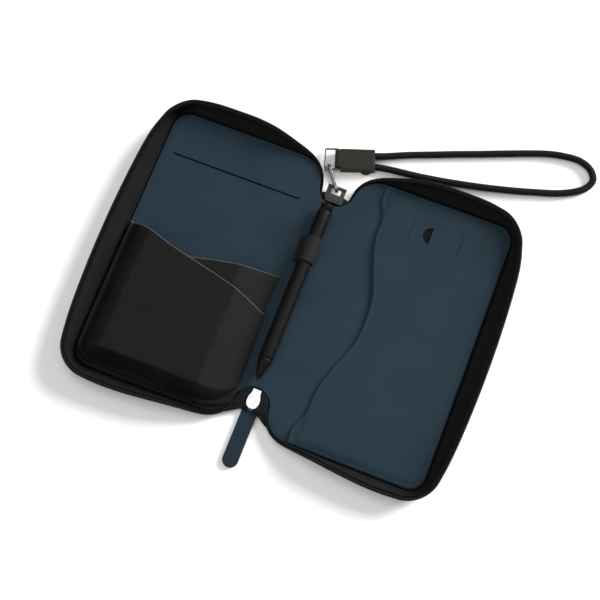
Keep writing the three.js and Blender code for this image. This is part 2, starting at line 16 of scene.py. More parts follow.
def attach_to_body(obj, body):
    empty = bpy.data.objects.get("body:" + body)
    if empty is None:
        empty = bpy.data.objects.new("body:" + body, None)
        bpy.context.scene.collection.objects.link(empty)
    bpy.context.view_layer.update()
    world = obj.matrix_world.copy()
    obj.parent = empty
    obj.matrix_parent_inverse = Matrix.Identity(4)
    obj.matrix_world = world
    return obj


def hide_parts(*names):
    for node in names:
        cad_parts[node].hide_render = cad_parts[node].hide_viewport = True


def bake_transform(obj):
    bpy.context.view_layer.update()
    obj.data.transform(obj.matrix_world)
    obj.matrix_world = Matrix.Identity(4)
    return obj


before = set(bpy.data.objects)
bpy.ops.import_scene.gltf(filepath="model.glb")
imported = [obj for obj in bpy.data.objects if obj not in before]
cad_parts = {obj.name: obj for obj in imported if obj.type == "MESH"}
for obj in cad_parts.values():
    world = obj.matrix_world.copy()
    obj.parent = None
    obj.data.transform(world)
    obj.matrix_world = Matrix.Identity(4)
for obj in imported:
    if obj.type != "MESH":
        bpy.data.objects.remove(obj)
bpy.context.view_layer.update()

MM = 0.001

# ---- Driving dimensions, as in the frame ----

HINGE_X = 10.5
COVER_EDGE = 10.8
SKIN_TOP = 1.2
LINING = (3.2, 4.2)
PASSPORT_PANEL = (5.2, 6.2)

PANEL_X = 119.3
PANEL_TOP = 92.5
PANEL_BOTTOM = -92.0
CORNER_R = 11.5
FLARE_X = 32.0
NOTCH_TOP_Y = 77.3
NOTCH_BOTTOM_Y = -77.0
NOTCH_R = 11.5

RIM_Z = 14.5
RIM_LOW_Z = 4.9
FLARE_SIDE = 13.0
FLARE_END = {"top": 9.8, "bottom": 8.8}
FLARE_RUN = {"top": 58, "bottom": 84}
CORNER_TUCK = {"top": 4.0, "bottom": 1.5}
CORNER_REACH = 17.0
WALL = 1.9
WALL_LOW = 0.8

POCKET_LEFT = -118.4
POCKET_RIGHT = -11.6
POCKET_BOTTOM = -88.5
POCKET_HEIGHT = 10.8
POCKET_WALL = 1.1

PEN_X = -1.5
PEN_R = 4.7
PEN_Z = 10.2

ZIP_PIVOT = (0.7, -78.0, 1.5)
TAB_BAR = (-1.8, 78.2, 3.6)
STRAP_AT = (3.6, 100.2, 3.4)
STRAP_TURN = math.radians(18.97)
CORD_R = 2.25
CORD_APART = 3.9
CORD_END = 5.25
CORD_OUT = 15.0
CORD_LIE = CORD_R + 0.15
CORD_STEP = CORD_LIE + 0.3

# ---- Camera ----

camera_data = bpy.data.cameras.new("camera")
camera_data.lens = 78
camera_data.sensor_width = 36
camera = bpy.data.objects.new("camera", camera_data)
camera.location = Vector((88.5, -197.7, 814.4)) * MM
camera.rotation_euler = [math.radians(angle) for angle in (14.73, 0.53, 21.26)]
bpy.context.scene.collection.objects.link(camera)
bpy.context.scene.camera = camera

# ---- Numbers and curves ----


def lerp(a, b, t):
    return a + (b - a) * t


def smooth(t):
    t = np.clip(t, 0.0, 1.0)
    return t * t * (3 - 2 * t)


def soft_clamp(t, round_off=0.06):
    """t kept between 0 and 1, with its two corners rounded off."""
    low = (t + np.sqrt(t * t + round_off**2)) / 2
    high = 1 - low
    return 1 - (high + np.sqrt(high * high + round_off**2)) / 2


def lengths_along(points):
    steps = np.linalg.norm(np.diff(points, axis=0), axis=1)
    return np.concatenate([[0.0], np.cumsum(steps)])


def spaced(points, step):
    """The same line with points an equal distance apart, about step."""
    points = np.asarray(points, float)
    far = lengths_along(points)
    count = max(2, round(far[-1] / step) + 1)
    at = np.linspace(0, far[-1], count)
    return np.stack([np.interp(at, far, points[:, k]) for k in range(points.shape[1])], axis=1)


def bezier(p0, p1, p2, p3, count=40):
    t = np.linspace(0, 1, count)[:, None]
    p0, p1, p2, p3 = (np.array(p, float) for p in (p0, p1, p2, p3))
    return (1 - t) ** 3 * p0 + 3 * t * (1 - t) ** 2 * p1 + 3 * t * t * (1 - t) * p2 + t**3 * p3


def arc(centre, radius, start, end, count=24):
    angles = np.radians(np.linspace(start, end, count))
    return np.stack([centre[0] + radius * np.cos(angles), centre[1] + radius * np.sin(angles)], axis=1)


def joined(*lines):
    """Lines end to end, with repeated points left out."""
    points = np.concatenate([np.asarray(line, float) for line in lines])
    keep = np.ones(len(points), bool)
    keep[1:] = np.linalg.norm(np.diff(points, axis=0), axis=1) > 1e-6
    return points[keep]


def spline(points, steps=16):
    """Centripetal Catmull-Rom curve through the points."""
    p = [np.array(q, float) for q in points]
    p = [2 * p[0] - p[1], *p, 2 * p[-1] - p[-2]]
    line = []
    for a, b, c, d in zip(p, p[1:], p[2:], p[3:]):
        t1 = np.linalg.norm(b - a) ** 0.5
        t2 = t1 + np.linalg.norm(c - b) ** 0.5
        t3 = t2 + np.linalg.norm(d - c) ** 0.5
        for t in np.linspace(t1, t2, steps, endpoint=False):
            ab = lerp(a, b, t / t1)
            bc = lerp(b, c, (t - t1) / (t2 - t1))
            cd = lerp(c, d, (t - t2) / (t3 - t2))
            abc = lerp(ab, bc, t / t2)
            bcd = lerp(bc, cd, (t - t1) / (t3 - t1))
            line.append(lerp(abc, bcd, (t - t1) / (t2 - t1)))
    return np.array([*line, p[-2]])


def inside(points, loop):
    """Which points lie inside a closed outline."""
    x, y = points[:, 0], points[:, 1]
    found = np.zeros(len(points), bool)
    for (x0, y0), (x1, y1) in zip(loop, np.roll(loop, -1, axis=0)):
        if y0 != y1:
            crosses = (y0 > y) != (y1 > y)
            found ^= crosses & (x < x0 + (y - y0) * (x1 - x0) / (y1 - y0))
    return found


def edge_distance(points, loop):
    """How far each point is from a closed outline."""
    best = np.full(len(points), 1e9)
    for a, b in zip(loop, np.roll(loop, -1, axis=0)):
        way = b - a
        share = np.clip(((points - a) @ way) / max(way @ way, 1e-12), 0, 1)
        best = np.minimum(best, np.linalg.norm(points - a - share[:, None] * way, axis=1))
    return best


# ---- Meshes ----


def make(name, points, faces, finish, uvs=None):
    """An object from points in millimetres. uvs holds a place in millimetres for each face's corners."""
    mesh = bpy.data.meshes.new(name)
    mesh.from_pydata((np.asarray(points, float) * MM).tolist(), [], [list(map(int, f)) for f in faces])
    layer = mesh.uv_layers.new(name="UVMap")
    if uvs is None:
        flat = np.asarray(points, float)[:, :2]
        uvs = [flat[list(face)] for face in faces]
    layer.data.foreach_set("uv", np.concatenate([np.asarray(corner, float) for corner in uvs]).ravel())
    solid = bmesh.new()
    solid.from_mesh(mesh)
    bmesh.ops.recalc_face_normals(solid, faces=solid.faces)
    solid.to_mesh(mesh)
    solid.free()
    mesh.shade_smooth()
    obj = bpy.data.objects.new(name, mesh)
    bpy.context.scene.collection.objects.link(obj)
    obj.data.materials.append(finish)
    return obj


def skinned(rings, closed_section=True, closed_path=False, caps=True):
    """Faces and their corners' places over a stack of rings with as many points each."""
    rings = np.asarray(rings, float)
    count, n = rings.shape[:2]
    middle = rings.mean(axis=1)
    path = np.vstack([middle, middle[:1]]) if closed_path else middle
    along = lengths_along(path)
    widest = rings[count // 2]
    around = lengths_along(np.vstack([widest, widest[:1]]))
    faces, uvs = [], []
    for k in range(count if closed_path else count - 1):
        nxt = (k + 1) % count
        for i in range(n if closed_section else n - 1):
            j = (i + 1) % n
            faces.append((k * n + i, k * n + j, nxt * n + j, nxt * n + i))
            uvs.append([(around[i], along[k]), (around[i + 1], along[k]),
                        (around[i + 1], along[k + 1]), (around[i], along[k + 1])])
    if caps and not closed_path:
        for k in (0, count - 1):
            faces.append(tuple(k * n + i for i in range(n)))
            uvs.append([(around[i], along[k]) for i in range(n)])
    return rings.reshape(-1, 3), faces, uvs


def wrapped(name, finish, rings, **how):
    points, faces, uvs = skinned(rings, **how)
    return make(name, points, faces, finish, uvs)


def frames_along(path, closed=False):
    """Tangents and two crosswise directions along a path, turning as little as they can."""
    path = np.asarray(path, float)
    if closed:
        tangents = np.roll(path, -1, axis=0) - np.roll(path, 1, axis=0)
    else:
        tangents = np.gradient(path, axis=0)
    tangents /= np.linalg.norm(tangents, axis=1)[:, None]
    side = np.cross(tangents[0], (0, 0, 1.0))
    if np.linalg.norm(side) < 0.1:
        side = np.cross(tangents[0], (1.0, 0, 0))
    sides = []
    for tangent in tangents:
        side = side - tangent * (side @ tangent)
        side = side / np.linalg.norm(side)
        sides.append(side)
    sides = np.array(sides)
    return tangents, sides, np.cross(sides, tangents)


def swept(path, section, closed=False):
    """Rings that carry a section, given as crosswise pairs, along a path."""
    _, sides, ups = frames_along(path, closed)
    section = np.asarray(section, float)
    path = np.asarray(path, float)
    across = section[None, :, :1] * sides[:, None, :]
    return path[:, None, :] + across + section[None, :, 1:] * ups[:, None, :]


def circle(radius, sides):
    angles = np.linspace(0, 2 * np.pi, sides, endpoint=False)
    return np.stack([radius * np.cos(angles), radius * np.sin(angles)], axis=1)


def tube(name, path, radius, finish, sides=12, closed=False):
    return wrapped(name, finish, swept(path, circle(radius, sides), closed), closed_path=closed)


def net(outline, holes=(), spacing=4.0, columns=()):
    """Triangles over an outline with holes, on a net of points. columns adds lines of points at those x."""
    outline = np.asarray(outline, float)
    loops = [outline, *[np.asarray(hole, float) for hole in holes]]
    points, edges = [], []
    for loop in loops:
        first = len(points)
        points += loop.tolist()
        edges += [(first + i, first + (i + 1) % len(loop)) for i in range(len(loop))]
    low, high = outline.min(axis=0), outline.max(axis=0)
    xs = [x for x in np.arange(low[0] + spacing / 2, high[0], spacing)
          if all(abs(x - c) > spacing * 0.6 for c in columns)]
    xs = np.array([*xs, *columns])
    ys = np.arange(low[1] + spacing / 2, high[1], spacing)
    grid = np.array([(x, y + (0.5 * spacing if i % 2 else 0)) for i, x in enumerate(xs) for y in ys])
    grid = grid[inside(grid, outline)]
    far = np.min([edge_distance(grid, loop) for loop in loops], axis=0)
    grid = grid[far > 0.35 * spacing]
    for hole in loops[1:]:
        grid = grid[~inside(grid, hole)]
    points += grid.tolist()
    verts, _, faces, *_ = delaunay_2d_cdt([Vector(p) for p in points], edges, [], 1, 1e-5)
    verts = np.array([tuple(v) for v in verts])
    faces = np.array([list(face) for face in faces])
    centres = verts[faces].mean(axis=1)
    keep = inside(centres, outline)
    for hole in loops[1:]:
        keep &= ~inside(centres, hole)
    return verts, faces[keep]


def sheet_between(flat, faces, low, high):
    """A closed sheet over a net, between two heights for each point."""
    n = len(flat)
    low = np.broadcast_to(np.asarray(low, float), n)
    high = np.broadcast_to(np.asarray(high, float), n)
    points = np.vstack([np.column_stack([flat, high]), np.column_stack([flat, low])])
    made = [tuple(f) for f in faces] + [(a + n, c + n, b + n) for a, b, c in faces]
    uses = {}
    for face in faces:
        for a, b in zip(face, np.roll(face, -1)):
            key = (min(a, b), max(a, b))
            uses.setdefault(key, []).append((a, b))
    for pair in uses.values():
        if len(pair) == 1:
            a, b = pair[0]
            made.append((b, a, a + n, b + n))
    return points, made


def panel(name, outline, low, high, finish, holes=(), spacing=4.0, columns=(), swell=None):
    """A piece cut from a sheet. swell gives how far its top rises at each point."""
    flat, faces = net(outline, holes, spacing, columns)
    rise = 0.0 if swell is None else swell(flat)
    points, made = sheet_between(flat, faces, low, high + rise)
    return make(name, points, made, finish)


def round_edges(obj, width, segments=3, angle=35):
    bevel = obj.modifiers.new("rounded", "BEVEL")
    bevel.width = width * MM
    bevel.segments = segments
    bevel.limit_method = "ANGLE"
    bevel.angle_limit = math.radians(angle)
    bevel.harden_normals = True
    return obj


def settle(obj):
    """Gives an object the mesh that its modifiers make, and leaves it none."""
    graph = bpy.context.evaluated_depsgraph_get()
    made = bpy.data.meshes.new_from_object(obj.evaluated_get(graph))
    obj.modifiers.clear()
    obj.data = made
    return obj


def moulded(node, name, finish, cell, passes, turn=0.0):
    """A CAD solid with every edge rounded over. turn squares it up first."""
    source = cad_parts[node]
    mesh = source.data.copy()
    mesh.materials.clear()
    obj = bpy.data.objects.new(name, mesh)
    bpy.context.scene.collection.objects.link(obj)
    back = Matrix.Rotation(turn, 4, "Z")
    mesh.transform(back.inverted())
    remesh = obj.modifiers.new("cells", "REMESH")
    remesh.mode = "VOXEL"
    remesh.voxel_size = cell * MM
    relax = obj.modifiers.new("relax", "SMOOTH")
    relax.factor = 0.5
    relax.iterations = passes
    settle(obj)
    obj.data.transform(back)
    obj.data.materials.clear()
    obj.data.materials.append(finish)
    obj.data.shade_smooth()
    obj.name = name
    return obj


def stitches(name, path, finish, pitch=3.0, thick=0.26, sink=0.12):
    """A row of thread along a path, each stitch rising from its needle hole and going down at the next."""
    places = spaced(path, pitch)
    rings_each = 6
    points, faces, uvs = [], [], []
    for start, end in zip(places, places[1:]):
        way = end - start
        line = [start + way * lerp(0.1, 0.9, t) - np.array([0, 0, sink + thick * 1.3 * abs(2 * t - 1) ** 3])
                + np.array([0, 0, sink]) for t in np.linspace(0, 1, rings_each)]
        rings = swept(line, circle(thick, 6))
        middle = rings.mean(axis=1, keepdims=True)
        taper = np.array([0.5, 0.9, 1.0, 1.0, 0.9, 0.5])[:, None, None]
        more, new_faces, new_uvs = skinned(middle + (rings - middle) * taper)
        first = sum(len(p) for p in points)
        points.append(more)
        faces += [tuple(first + i for i in face) for face in new_faces]
        uvs += new_uvs
    return make(name, np.concatenate(points), faces, finish, uvs)


def lathe(name, profile, finish, centre, axis="Y", segments=64):
    """Turns a profile of radius and place along the axis about that axis."""
    profile = np.asarray(profile, float)
    angles = np.linspace(0, 2 * np.pi, segments, endpoint=False)
    rings = []
    for radius, place in profile:
        across = np.stack([radius * np.cos(angles), radius * np.sin(angles)], axis=1)
        if axis == "Y":
            ring = np.stack([across[:, 0], np.full(segments, place), across[:, 1]], axis=1)
        else:
            ring = np.stack([across[:, 0], across[:, 1], np.full(segments, place)], axis=1)
        rings.append(ring + np.array(centre))
    return wrapped(name, finish, rings)


def stand_for(piece, slot, *nodes):
    """Hides the CAD nodes that a piece stands for. slot, the piece's finish, is not used."""
    if nodes:
        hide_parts(*nodes)


def attach(piece, body, slot, *nodes):
    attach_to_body(piece, body)
    stand_for(piece, slot, *nodes)


# ---- Finishes ----


def linear(colour):
    """A colour given as 0 to 255 for each channel, as the shader wants it."""
    channels = [c / 255 for c in colour]
    return (*[c / 12.92 if c <= 0.04045 else ((c + 0.055) / 1.055) ** 2.4 for c in channels], 1.0)


def shade(colour, times, plus=0.0):
    """A linear colour made darker or lighter."""
    return (*[min(1.0, c * times + plus) for c in colour[:3]], 1.0)


class Finish:
    """A material in the making: a Principled shader and short ways to put nodes before it."""

    def __init__(self, name, roughness, metallic=0.0, specular=0.5, **more):
        self.material = bpy.data.materials.new(name)
        self.material.use_nodes = True
        self.tree = self.material.node_tree
        self.shader = self.tree.nodes["Principled BSDF"]
        self.shader.inputs["Roughness"].default_value = roughness
        self.shader.inputs["Metallic"].default_value = metallic
        self.shader.inputs["Specular IOR Level"].default_value = specular
        for key, value in more.items():
            self.shader.inputs[key.replace("_", " ")].default_value = value

    def put(self, socket, value):
        if isinstance(value, bpy.types.NodeSocket):
            self.tree.links.new(value, socket)
        else:
            socket.default_value = value

    def node(self, kind, inputs=(), **settings):
        """The outputs of a new node. inputs gives a value or a link for each socket's name or number."""
        made = self.tree.nodes.new("ShaderNode" + kind)
        for key, value in settings.items():
            setattr(made, key, value)
        for key, value in dict(inputs).items():
            self.put(made.inputs[key], value)
        return made.outputs

    def place(self, kind="Object"):
        return self.node("TexCoord")[kind]

    def vector(self, operation, first, second):
        return self.node("VectorMath", {0: first, 1: second}, operation=operation)[0]

    def scaled(self, vector, scale):
        return self.vector("MULTIPLY", vector, scale)

    def noise(self, vector, scale, detail=3.0, output="Fac"):
        return self.node("TexNoise", {"Vector": vector, "Scale": scale, "Detail": detail})[output]

    def cells(self, vector, scale, feature="F1"):
        return self.node("TexVoronoi", {"Vector": vector, "Scale": scale}, feature=feature)["Distance"]

    def maths(self, operation, first, second=0.5):
        return self.node("Math", {0: first, 1: second}, operation=operation)[0]

    def ramp(self, value, low, high, from_low=0.0, from_high=1.0):
        inputs = {"Value": value, "From Min": from_low, "From Max": from_high, "To Min": low, "To Max": high}
        return self.node("MapRange", inputs, interpolation_type="SMOOTHSTEP")["Result"]

    def blend(self, share, first, second):
        return self.node("Mix", {0: share, 6: first, 7: second}, data_type="RGBA")[2]

    def axes(self, vector):
        return self.node("SeparateXYZ", {0: vector})

    def colour(self, value):
        self.put(self.shader.inputs["Base Color"], value)

    def roughness(self, value):
        self.put(self.shader.inputs["Roughness"], value)

    def bump(self, height, depth, strength=1.0, under=None):
        """Relief of that depth in millimetres, over relief made before it."""
        inputs = {"Strength": strength, "Distance": depth * MM, "Height": height}
        if under is not None:
            inputs["Normal"] = under
        normal = self.node("Bump", inputs)[0]
        self.put(self.shader.inputs["Normal"], normal)
        return normal

    def edges(self, low=0.52, high=0.6):
        """One on worn outer edges and nothing on flat faces."""
        return self.ramp(self.node("NewGeometry")["Pointiness"], 0.0, 1.0, low, high)


def leather(name, colour, grain=0.9, relief=0.08, roughness=0.5, worn=0.16, specular=0.14, patch=0.12):
    """Fine pebbled leather. grain is a pebble's width and relief its height."""
    f = Finish(name, roughness, specular=specular)
    place = f.place()
    bend = f.scaled(f.noise(place, 900, 2.0, "Color"), (0.0004,) * 3)
    warped = f.vector("ADD", place, bend)
    pebble = f.cells(warped, 1000 / grain)
    crease = f.ramp(f.cells(warped, 1000 / grain, "DISTANCE_TO_EDGE"), 0.0, 1.0, 0.0, 0.12)
    mottle = f.noise(place, 38, 4.0)
    fine = f.noise(place, 3200, 3.0)
    base = linear(colour)
    dark = shade(base, 1 - patch)
    light = shade(base, 1 + patch)
    tone = f.blend(f.ramp(mottle, 0.0, 1.0, 0.3, 0.7), dark, light)
    # Painted shade in the grain: the creases between pebbles are painted darker than the pebble tops, after
    # the same height as the bump.
    tone = f.blend(f.maths("MULTIPLY", crease, 0.22), tone, light)
    edge = shade(base, 2.1, 0.006)
    tone = f.blend(f.maths("MULTIPLY", f.edges(), worn), tone, edge)
    f.colour(tone)
    f.roughness(f.ramp(mottle, roughness - 0.02, roughness + 0.03, 0.25, 0.75))
    under = f.bump(crease, relief, 0.7)
    under = f.bump(pebble, relief * 0.6, 0.5, under)
    f.bump(fine, relief * 0.25, 0.5, under)
    return f.material


def weave(name, colour, thread=0.55, relief=0.12, roughness=0.8, specular=0.12, sheen=0.0, slant=1.0):
    """Plain woven cloth. Its threads follow the mesh's own lengths in millimetres."""
    f = Finish(name, roughness, specular=specular, Sheen_Weight=sheen, Sheen_Roughness=0.5)
    f.shader.inputs["Sheen Tint"].default_value = linear([min(255, c * 3 + 40) for c in colour])
    place = f.place("UV")
    wobble = f.scaled(f.noise(place, 0.35, 2.0, "Color"), (0.25,) * 3)
    x, y, _ = f.axes(f.vector("ADD", place, wobble))
    warp = f.maths("SINE", f.maths("MULTIPLY", x, math.pi / thread))
    weft = f.maths("SINE", f.maths("MULTIPLY", y, math.pi / (thread * slant)))
    over = f.ramp(f.maths("MULTIPLY", warp, weft), 0.0, 1.0, -0.12, 0.12)
    up = f.maths("ABSOLUTE", warp)
    across = f.maths("ABSOLUTE", weft)
    height = f.node("Mix", {0: over, 2: up, 3: across})[0]
    base = linear(colour)
    # Painted shade and highlight: the low parts of the relief between threads are painted darker and the
    # thread crests lighter, after the relief's height.
    dark = shade(base, 0.55)
    light = shade(base, 1.35)
    slub = f.noise(f.place(), 160, 4.0)
    tone = f.blend(f.ramp(height, 0.0, 1.0, 0.1, 0.95), dark, light)
    worn = shade(base, 1.7)
    tone = f.blend(f.maths("MULTIPLY", f.ramp(slub, 0.0, 1.0, 0.42, 0.75), 0.5), tone, worn)
    f.colour(tone)
    f.roughness(f.ramp(slub, roughness - 0.08, roughness + 0.08, 0.3, 0.7))
    under = f.bump(height, relief, 0.8)
    f.bump(f.noise(f.place(), 2600, 3.0), relief * 0.4, 0.4, under)
    return f.material


def metal(name, colour, roughness=0.24):
    """Polished plate with fine scratches and dull patches."""
    f = Finish(name, roughness, metallic=1.0)
    place = f.place()
    scratches = f.noise(f.scaled(place, (1.0, 0.06, 1.0)), 9000, 2.0)
    patches = f.noise(place, 420, 3.0)
    base = linear(colour)
    dull = shade(base, 0.72)
    f.colour(f.blend(f.ramp(patches, 0.0, 0.4, 0.35, 0.75), base, dull))
    f.roughness(f.ramp(patches, roughness - 0.06, roughness + 0.14, 0.3, 0.7))
    f.bump(scratches, 0.012, 0.35)
    return f.material


def plastic(name, colour, roughness=0.45, specular=0.25):
    """Matt moulded plastic with a soft-touch skin."""
    f = Finish(name, roughness, specular=specular)
    place = f.place()
    wear = f.noise(place, 260, 4.0)
    base = linear(colour)
    rubbed = shade(base, 1.5)
    f.colour(f.blend(f.ramp(wear, 0.0, 0.6, 0.45, 0.8), base, rubbed))
    f.roughness(f.ramp(wear, roughness - 0.06, roughness + 0.1, 0.3, 0.7))
    f.bump(f.noise(place, 5200, 2.0), 0.02, 0.5)
    return f.material


def board(name, colour):
    """Pressed fibreboard."""
    f = Finish(name, 0.9, specular=0.2)
    place = f.place()
    fibres = f.noise(f.scaled(place, (1.0, 3.0, 1.0)), 900, 5.0)
    base = linear(colour)
    pale = shade(base, 1.5)
    f.colour(f.blend(f.ramp(fibres, 0.0, 1.0, 0.35, 0.7), base, pale))
    f.bump(fibres, 0.06, 0.6)
    return f.material


SHELL = weave("shell_fabric_look", (18, 17, 16), thread=0.62, relief=0.14, roughness=0.78)
TAPE = weave("zip_tape_look", (15, 15, 15), thread=0.4, relief=0.08, roughness=0.85, slant=2.2)
CORD = weave("cord_look", (14, 14, 14), thread=0.45, relief=0.08, roughness=0.7)
LOOP = weave("pen_loop_look", (26, 26, 26), thread=0.5, relief=0.12, roughness=0.75)
LINING_BLUE = leather("lining_look", (22, 40, 51), grain=0.75, relief=0.06, roughness=0.5)
POCKET = leather("pocket_look", (16, 16, 14), grain=0.7, relief=0.05, roughness=0.55, specular=0.1)
EDGE_PAINT = leather("edge_paint_look", (74, 72, 68), grain=0.5, relief=0.03, roughness=0.55)
TAB = leather("tab_look", (44, 42, 40), grain=0.6, relief=0.05, roughness=0.5, specular=0.3)
SLEEVE = leather("sleeve_look", (36, 33, 28), grain=0.6, relief=0.06, roughness=0.52)
PULLER = leather("puller_look", (19, 34, 44), grain=0.6, relief=0.05, roughness=0.5)
LINER = weave("liner_look", (14, 14, 14), thread=0.5, relief=0.08, roughness=0.85)
NYLON = plastic("zip_coil_look", (12, 12, 12), roughness=0.45, specular=0.15)
SILVER = metal("silver_look", (214, 214, 220), roughness=0.34)
STEEL = metal("steel_look", (104, 104, 107), roughness=0.2)
INK = metal("refill_look", (30, 31, 33), roughness=0.3)
SNAP = metal("snap_look", (72, 70, 67), roughness=0.35)
PEN = plastic("pen_look", (11, 11, 11), roughness=0.5, specular=0.1)
BOARD = board("board_look", (38, 40, 42))
DARK_THREAD = weave("dark_thread_look", (12, 12, 12), thread=0.3, relief=0.05, roughness=0.7)
BLUE_THREAD = weave("blue_thread_look", (22, 35, 43), thread=0.3, relief=0.05, roughness=0.7)
BROWN_THREAD = weave("brown_thread_look", (37, 34, 30), thread=0.3, relief=0.05, roughness=0.7)

# ---- Wrist cord ----

CORD_ROUTE = [(22, 111.2, CORD_STEP), (35, 117.2), (49.8, 123.2), (65, 129.4), (80, 135.3), (95, 141.4),
              (110.2, 147.4), (121, 151.2), (130.4, 153.4), (142.5, 154.2), (150.8, 150.9), (154.9, 144.4),
              (151.8, 137), (140.4, 129.3), (120.3, 122.2), (95.1, 115.2), (70, 109.6),
              (49.8, 105.9, CORD_STEP)]


def strap_point(a, b, up=0.0):
    """A place in the strap's own frame: a along the sleeve, b across it."""
    x = STRAP_AT[0] + a * math.cos(STRAP_TURN) - b * math.sin(STRAP_TURN)
    y = STRAP_AT[1] + a * math.sin(STRAP_TURN) + b * math.cos(STRAP_TURN)
    return (x, y, STRAP_AT[2] + up)


def wrist_cord():
    """Braided cord: both ends are in the sleeve and the loop lies flat on the surface."""
    route = [strap_point(CORD_END, CORD_APART), strap_point(CORD_OUT, CORD_APART),
             *[(p[0], p[1], p[2] if len(p) > 2 else CORD_LIE) for p in CORD_ROUTE],
             strap_point(CORD_OUT, -CORD_APART), strap_point(CORD_END, -CORD_APART)]
    path = spaced(spline(route), 0.45)
    sides = 32
    strands = 8
    turn_length = 15.0
    angles = np.linspace(0, 2 * np.pi, sides, endpoint=False)
    _, across, ups = frames_along(path)
    far = lengths_along(path)
    rings = []
    for place, side, up, s in zip(path, across, ups, far):
        twist = 2 * np.pi * s / turn_length
        one = np.abs(np.sin(strands / 2 * (angles + twist)))
        other = np.abs(np.sin(strands / 2 * (angles - twist)))
        radius = CORD_R - 0.16 + 0.2 * np.maximum(one, other)
        ring = place + (radius * np.cos(angles))[:, None] * side + (radius * np.sin(angles))[:, None] * up
        rings.append(ring)
    cord = wrapped("wrist_cord_braid", CORD, rings)
    attach(cord, "strap_sleeve", "cord", "wrist_cord")


wrist_cord()

# ---- Outline of one half ----


def half_edge():
    """Edge of the +X half from the middle of the bottom notch round to the middle of the top notch."""
    reach = math.degrees(math.acos((HINGE_X - 0.3) / NOTCH_R))
    line = joined(
        arc((0, NOTCH_BOTTOM_Y), NOTCH_R, 90, reach, 16),
        bezier((COVER_EDGE, NOTCH_BOTTOM_Y + 4.7), (12.2, -85.5), (18.5, PANEL_BOTTOM),
               (FLARE_X, PANEL_BOTTOM)),
        [(FLARE_X, PANEL_BOTTOM), (PANEL_X - CORNER_R, PANEL_BOTTOM)],
        arc((PANEL_X - CORNER_R, PANEL_BOTTOM + CORNER_R), CORNER_R, -90, 0),
        arc((PANEL_X - CORNER_R, PANEL_TOP - CORNER_R), CORNER_R, 0, 90),
        [(PANEL_X - CORNER_R, PANEL_TOP), (FLARE_X, PANEL_TOP)],
        bezier((FLARE_X, PANEL_TOP), (18.5, PANEL_TOP), (12.2, 86), (COVER_EDGE, NOTCH_TOP_Y - 4.4)),
        arc((0, NOTCH_TOP_Y), NOTCH_R, -reach, -90, 16),
    )
    return spaced(line, 1.6)


class Edge:
    """Stations along a half's edge: places, outward directions, and the wall's shape at each."""

    def __init__(self):
        self.place = half_edge()
        along = np.gradient(self.place, axis=0)
        along /= np.linalg.norm(along, axis=1)[:, None]
        self.out = np.stack([along[:, 1], -along[:, 0]], axis=1)
        self.out[0] = (0, -1)
        self.out[-1] = (0, 1)
        x, y = self.place.T
        self.rise = smooth((x - COVER_EDGE - 1) / 44)
        self.start = smooth((x - COVER_EDGE - 0.3) / 1.6)
        self.wall = lerp(WALL_LOW, WALL, self.rise)
        bulge = 1 - 0.42 * (y / PANEL_TOP) ** 2
        by_end = (FLARE_END, FLARE_RUN, CORNER_TUCK)
        end, run, tuck = (np.where(y > 0, by["top"], by["bottom"]) for by in by_end)
        panel_end = np.where(y > 0, PANEL_TOP, PANEL_BOTTOM)
        corner = np.exp(-(np.hypot(PANEL_X - x, panel_end - y) / CORNER_REACH) ** 2)
        full = lerp(end, FLARE_SIDE * bulge, np.abs(self.out[:, 0])) - tuck * corner
        self.lean = lerp(0.5 + self.wall, full, smooth((x - COVER_EDGE - 1) / run))
        self.rim_z = lerp(RIM_LOW_Z, RIM_Z, self.rise)
        self.on_cover = smooth((x - 6) / 5)

    def moved(self, distance, z, side, used=slice(None)):
        """Points at a distance out from the edge and a height, on one side of the spine."""
        out = self.out[used] * np.broadcast_to(np.asarray(distance, float), len(self.rise))[used][:, None]
        flat = self.place[used] + out
        height = np.broadcast_to(np.asarray(z, float), len(self.rise))[used]
        return np.column_stack([side * np.maximum(flat[:, 0], 0.0), flat[:, 1], height])

    def outline(self, distance, side):
        return self.moved(distance, 0.0, side)[:, :2]

    def rim(self):
        """Distance and height of the wall's inner rim."""
        return self.lean - self.wall, self.rim_z - 2.6 * self.rise

    def inner(self, t):
        """Distance and height on the wall's inner face, from its rim at 0 to its foot at 1."""
        rim = self.rim()
        middle = (lerp(0.45, rim[0], 0.68), lerp(4.3, self.rim_z, 0.38))
        lower = (0.45, lerp(4.2, 4.0, self.rise))
        return tuple(through(t, a, b, c) for a, b, c in zip(rim, middle, lower))

    def outer(self, t):
        """Distance and height on the wall's outer face, from its base at 0 to its rim at 1."""
        base = (0.7 + 1.1 * self.rise, 0.0)
        middle = (lerp(1.1 + 0.5 * self.rise, self.lean, 0.8), lerp(0.4, self.rim_z, 0.42))
        rim = (self.lean, self.rim_z - 2.6 * self.rise)
        return tuple(through(t, a, b, c) for a, b, c in zip(base, middle, rim))


def through(t, a, b, c):
    """A quadratic curve that is at a, b and c when t is 0, a half and 1."""
    control = 2 * b - (a + c) / 2
    return (1 - t) ** 2 * a + 2 * t * (1 - t) * control + t * t * c


EDGE = Edge()
SIDES = ((-1, "left"), (1, "right"))
FOLD_COLUMNS = np.arange(7.0, 14.6, 0.75)
INNER_FOLD = (9.3, 11.7)
OUTER_FOLD = (8.5, 12.0)


def cross_fold(piece, word, side, start, end):
    """Bakes a piece's place into its mesh and leaves it unbent. start and end, the two distances from the
    middle, are not used.
    """
    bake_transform(piece)


# ---- Covers ----


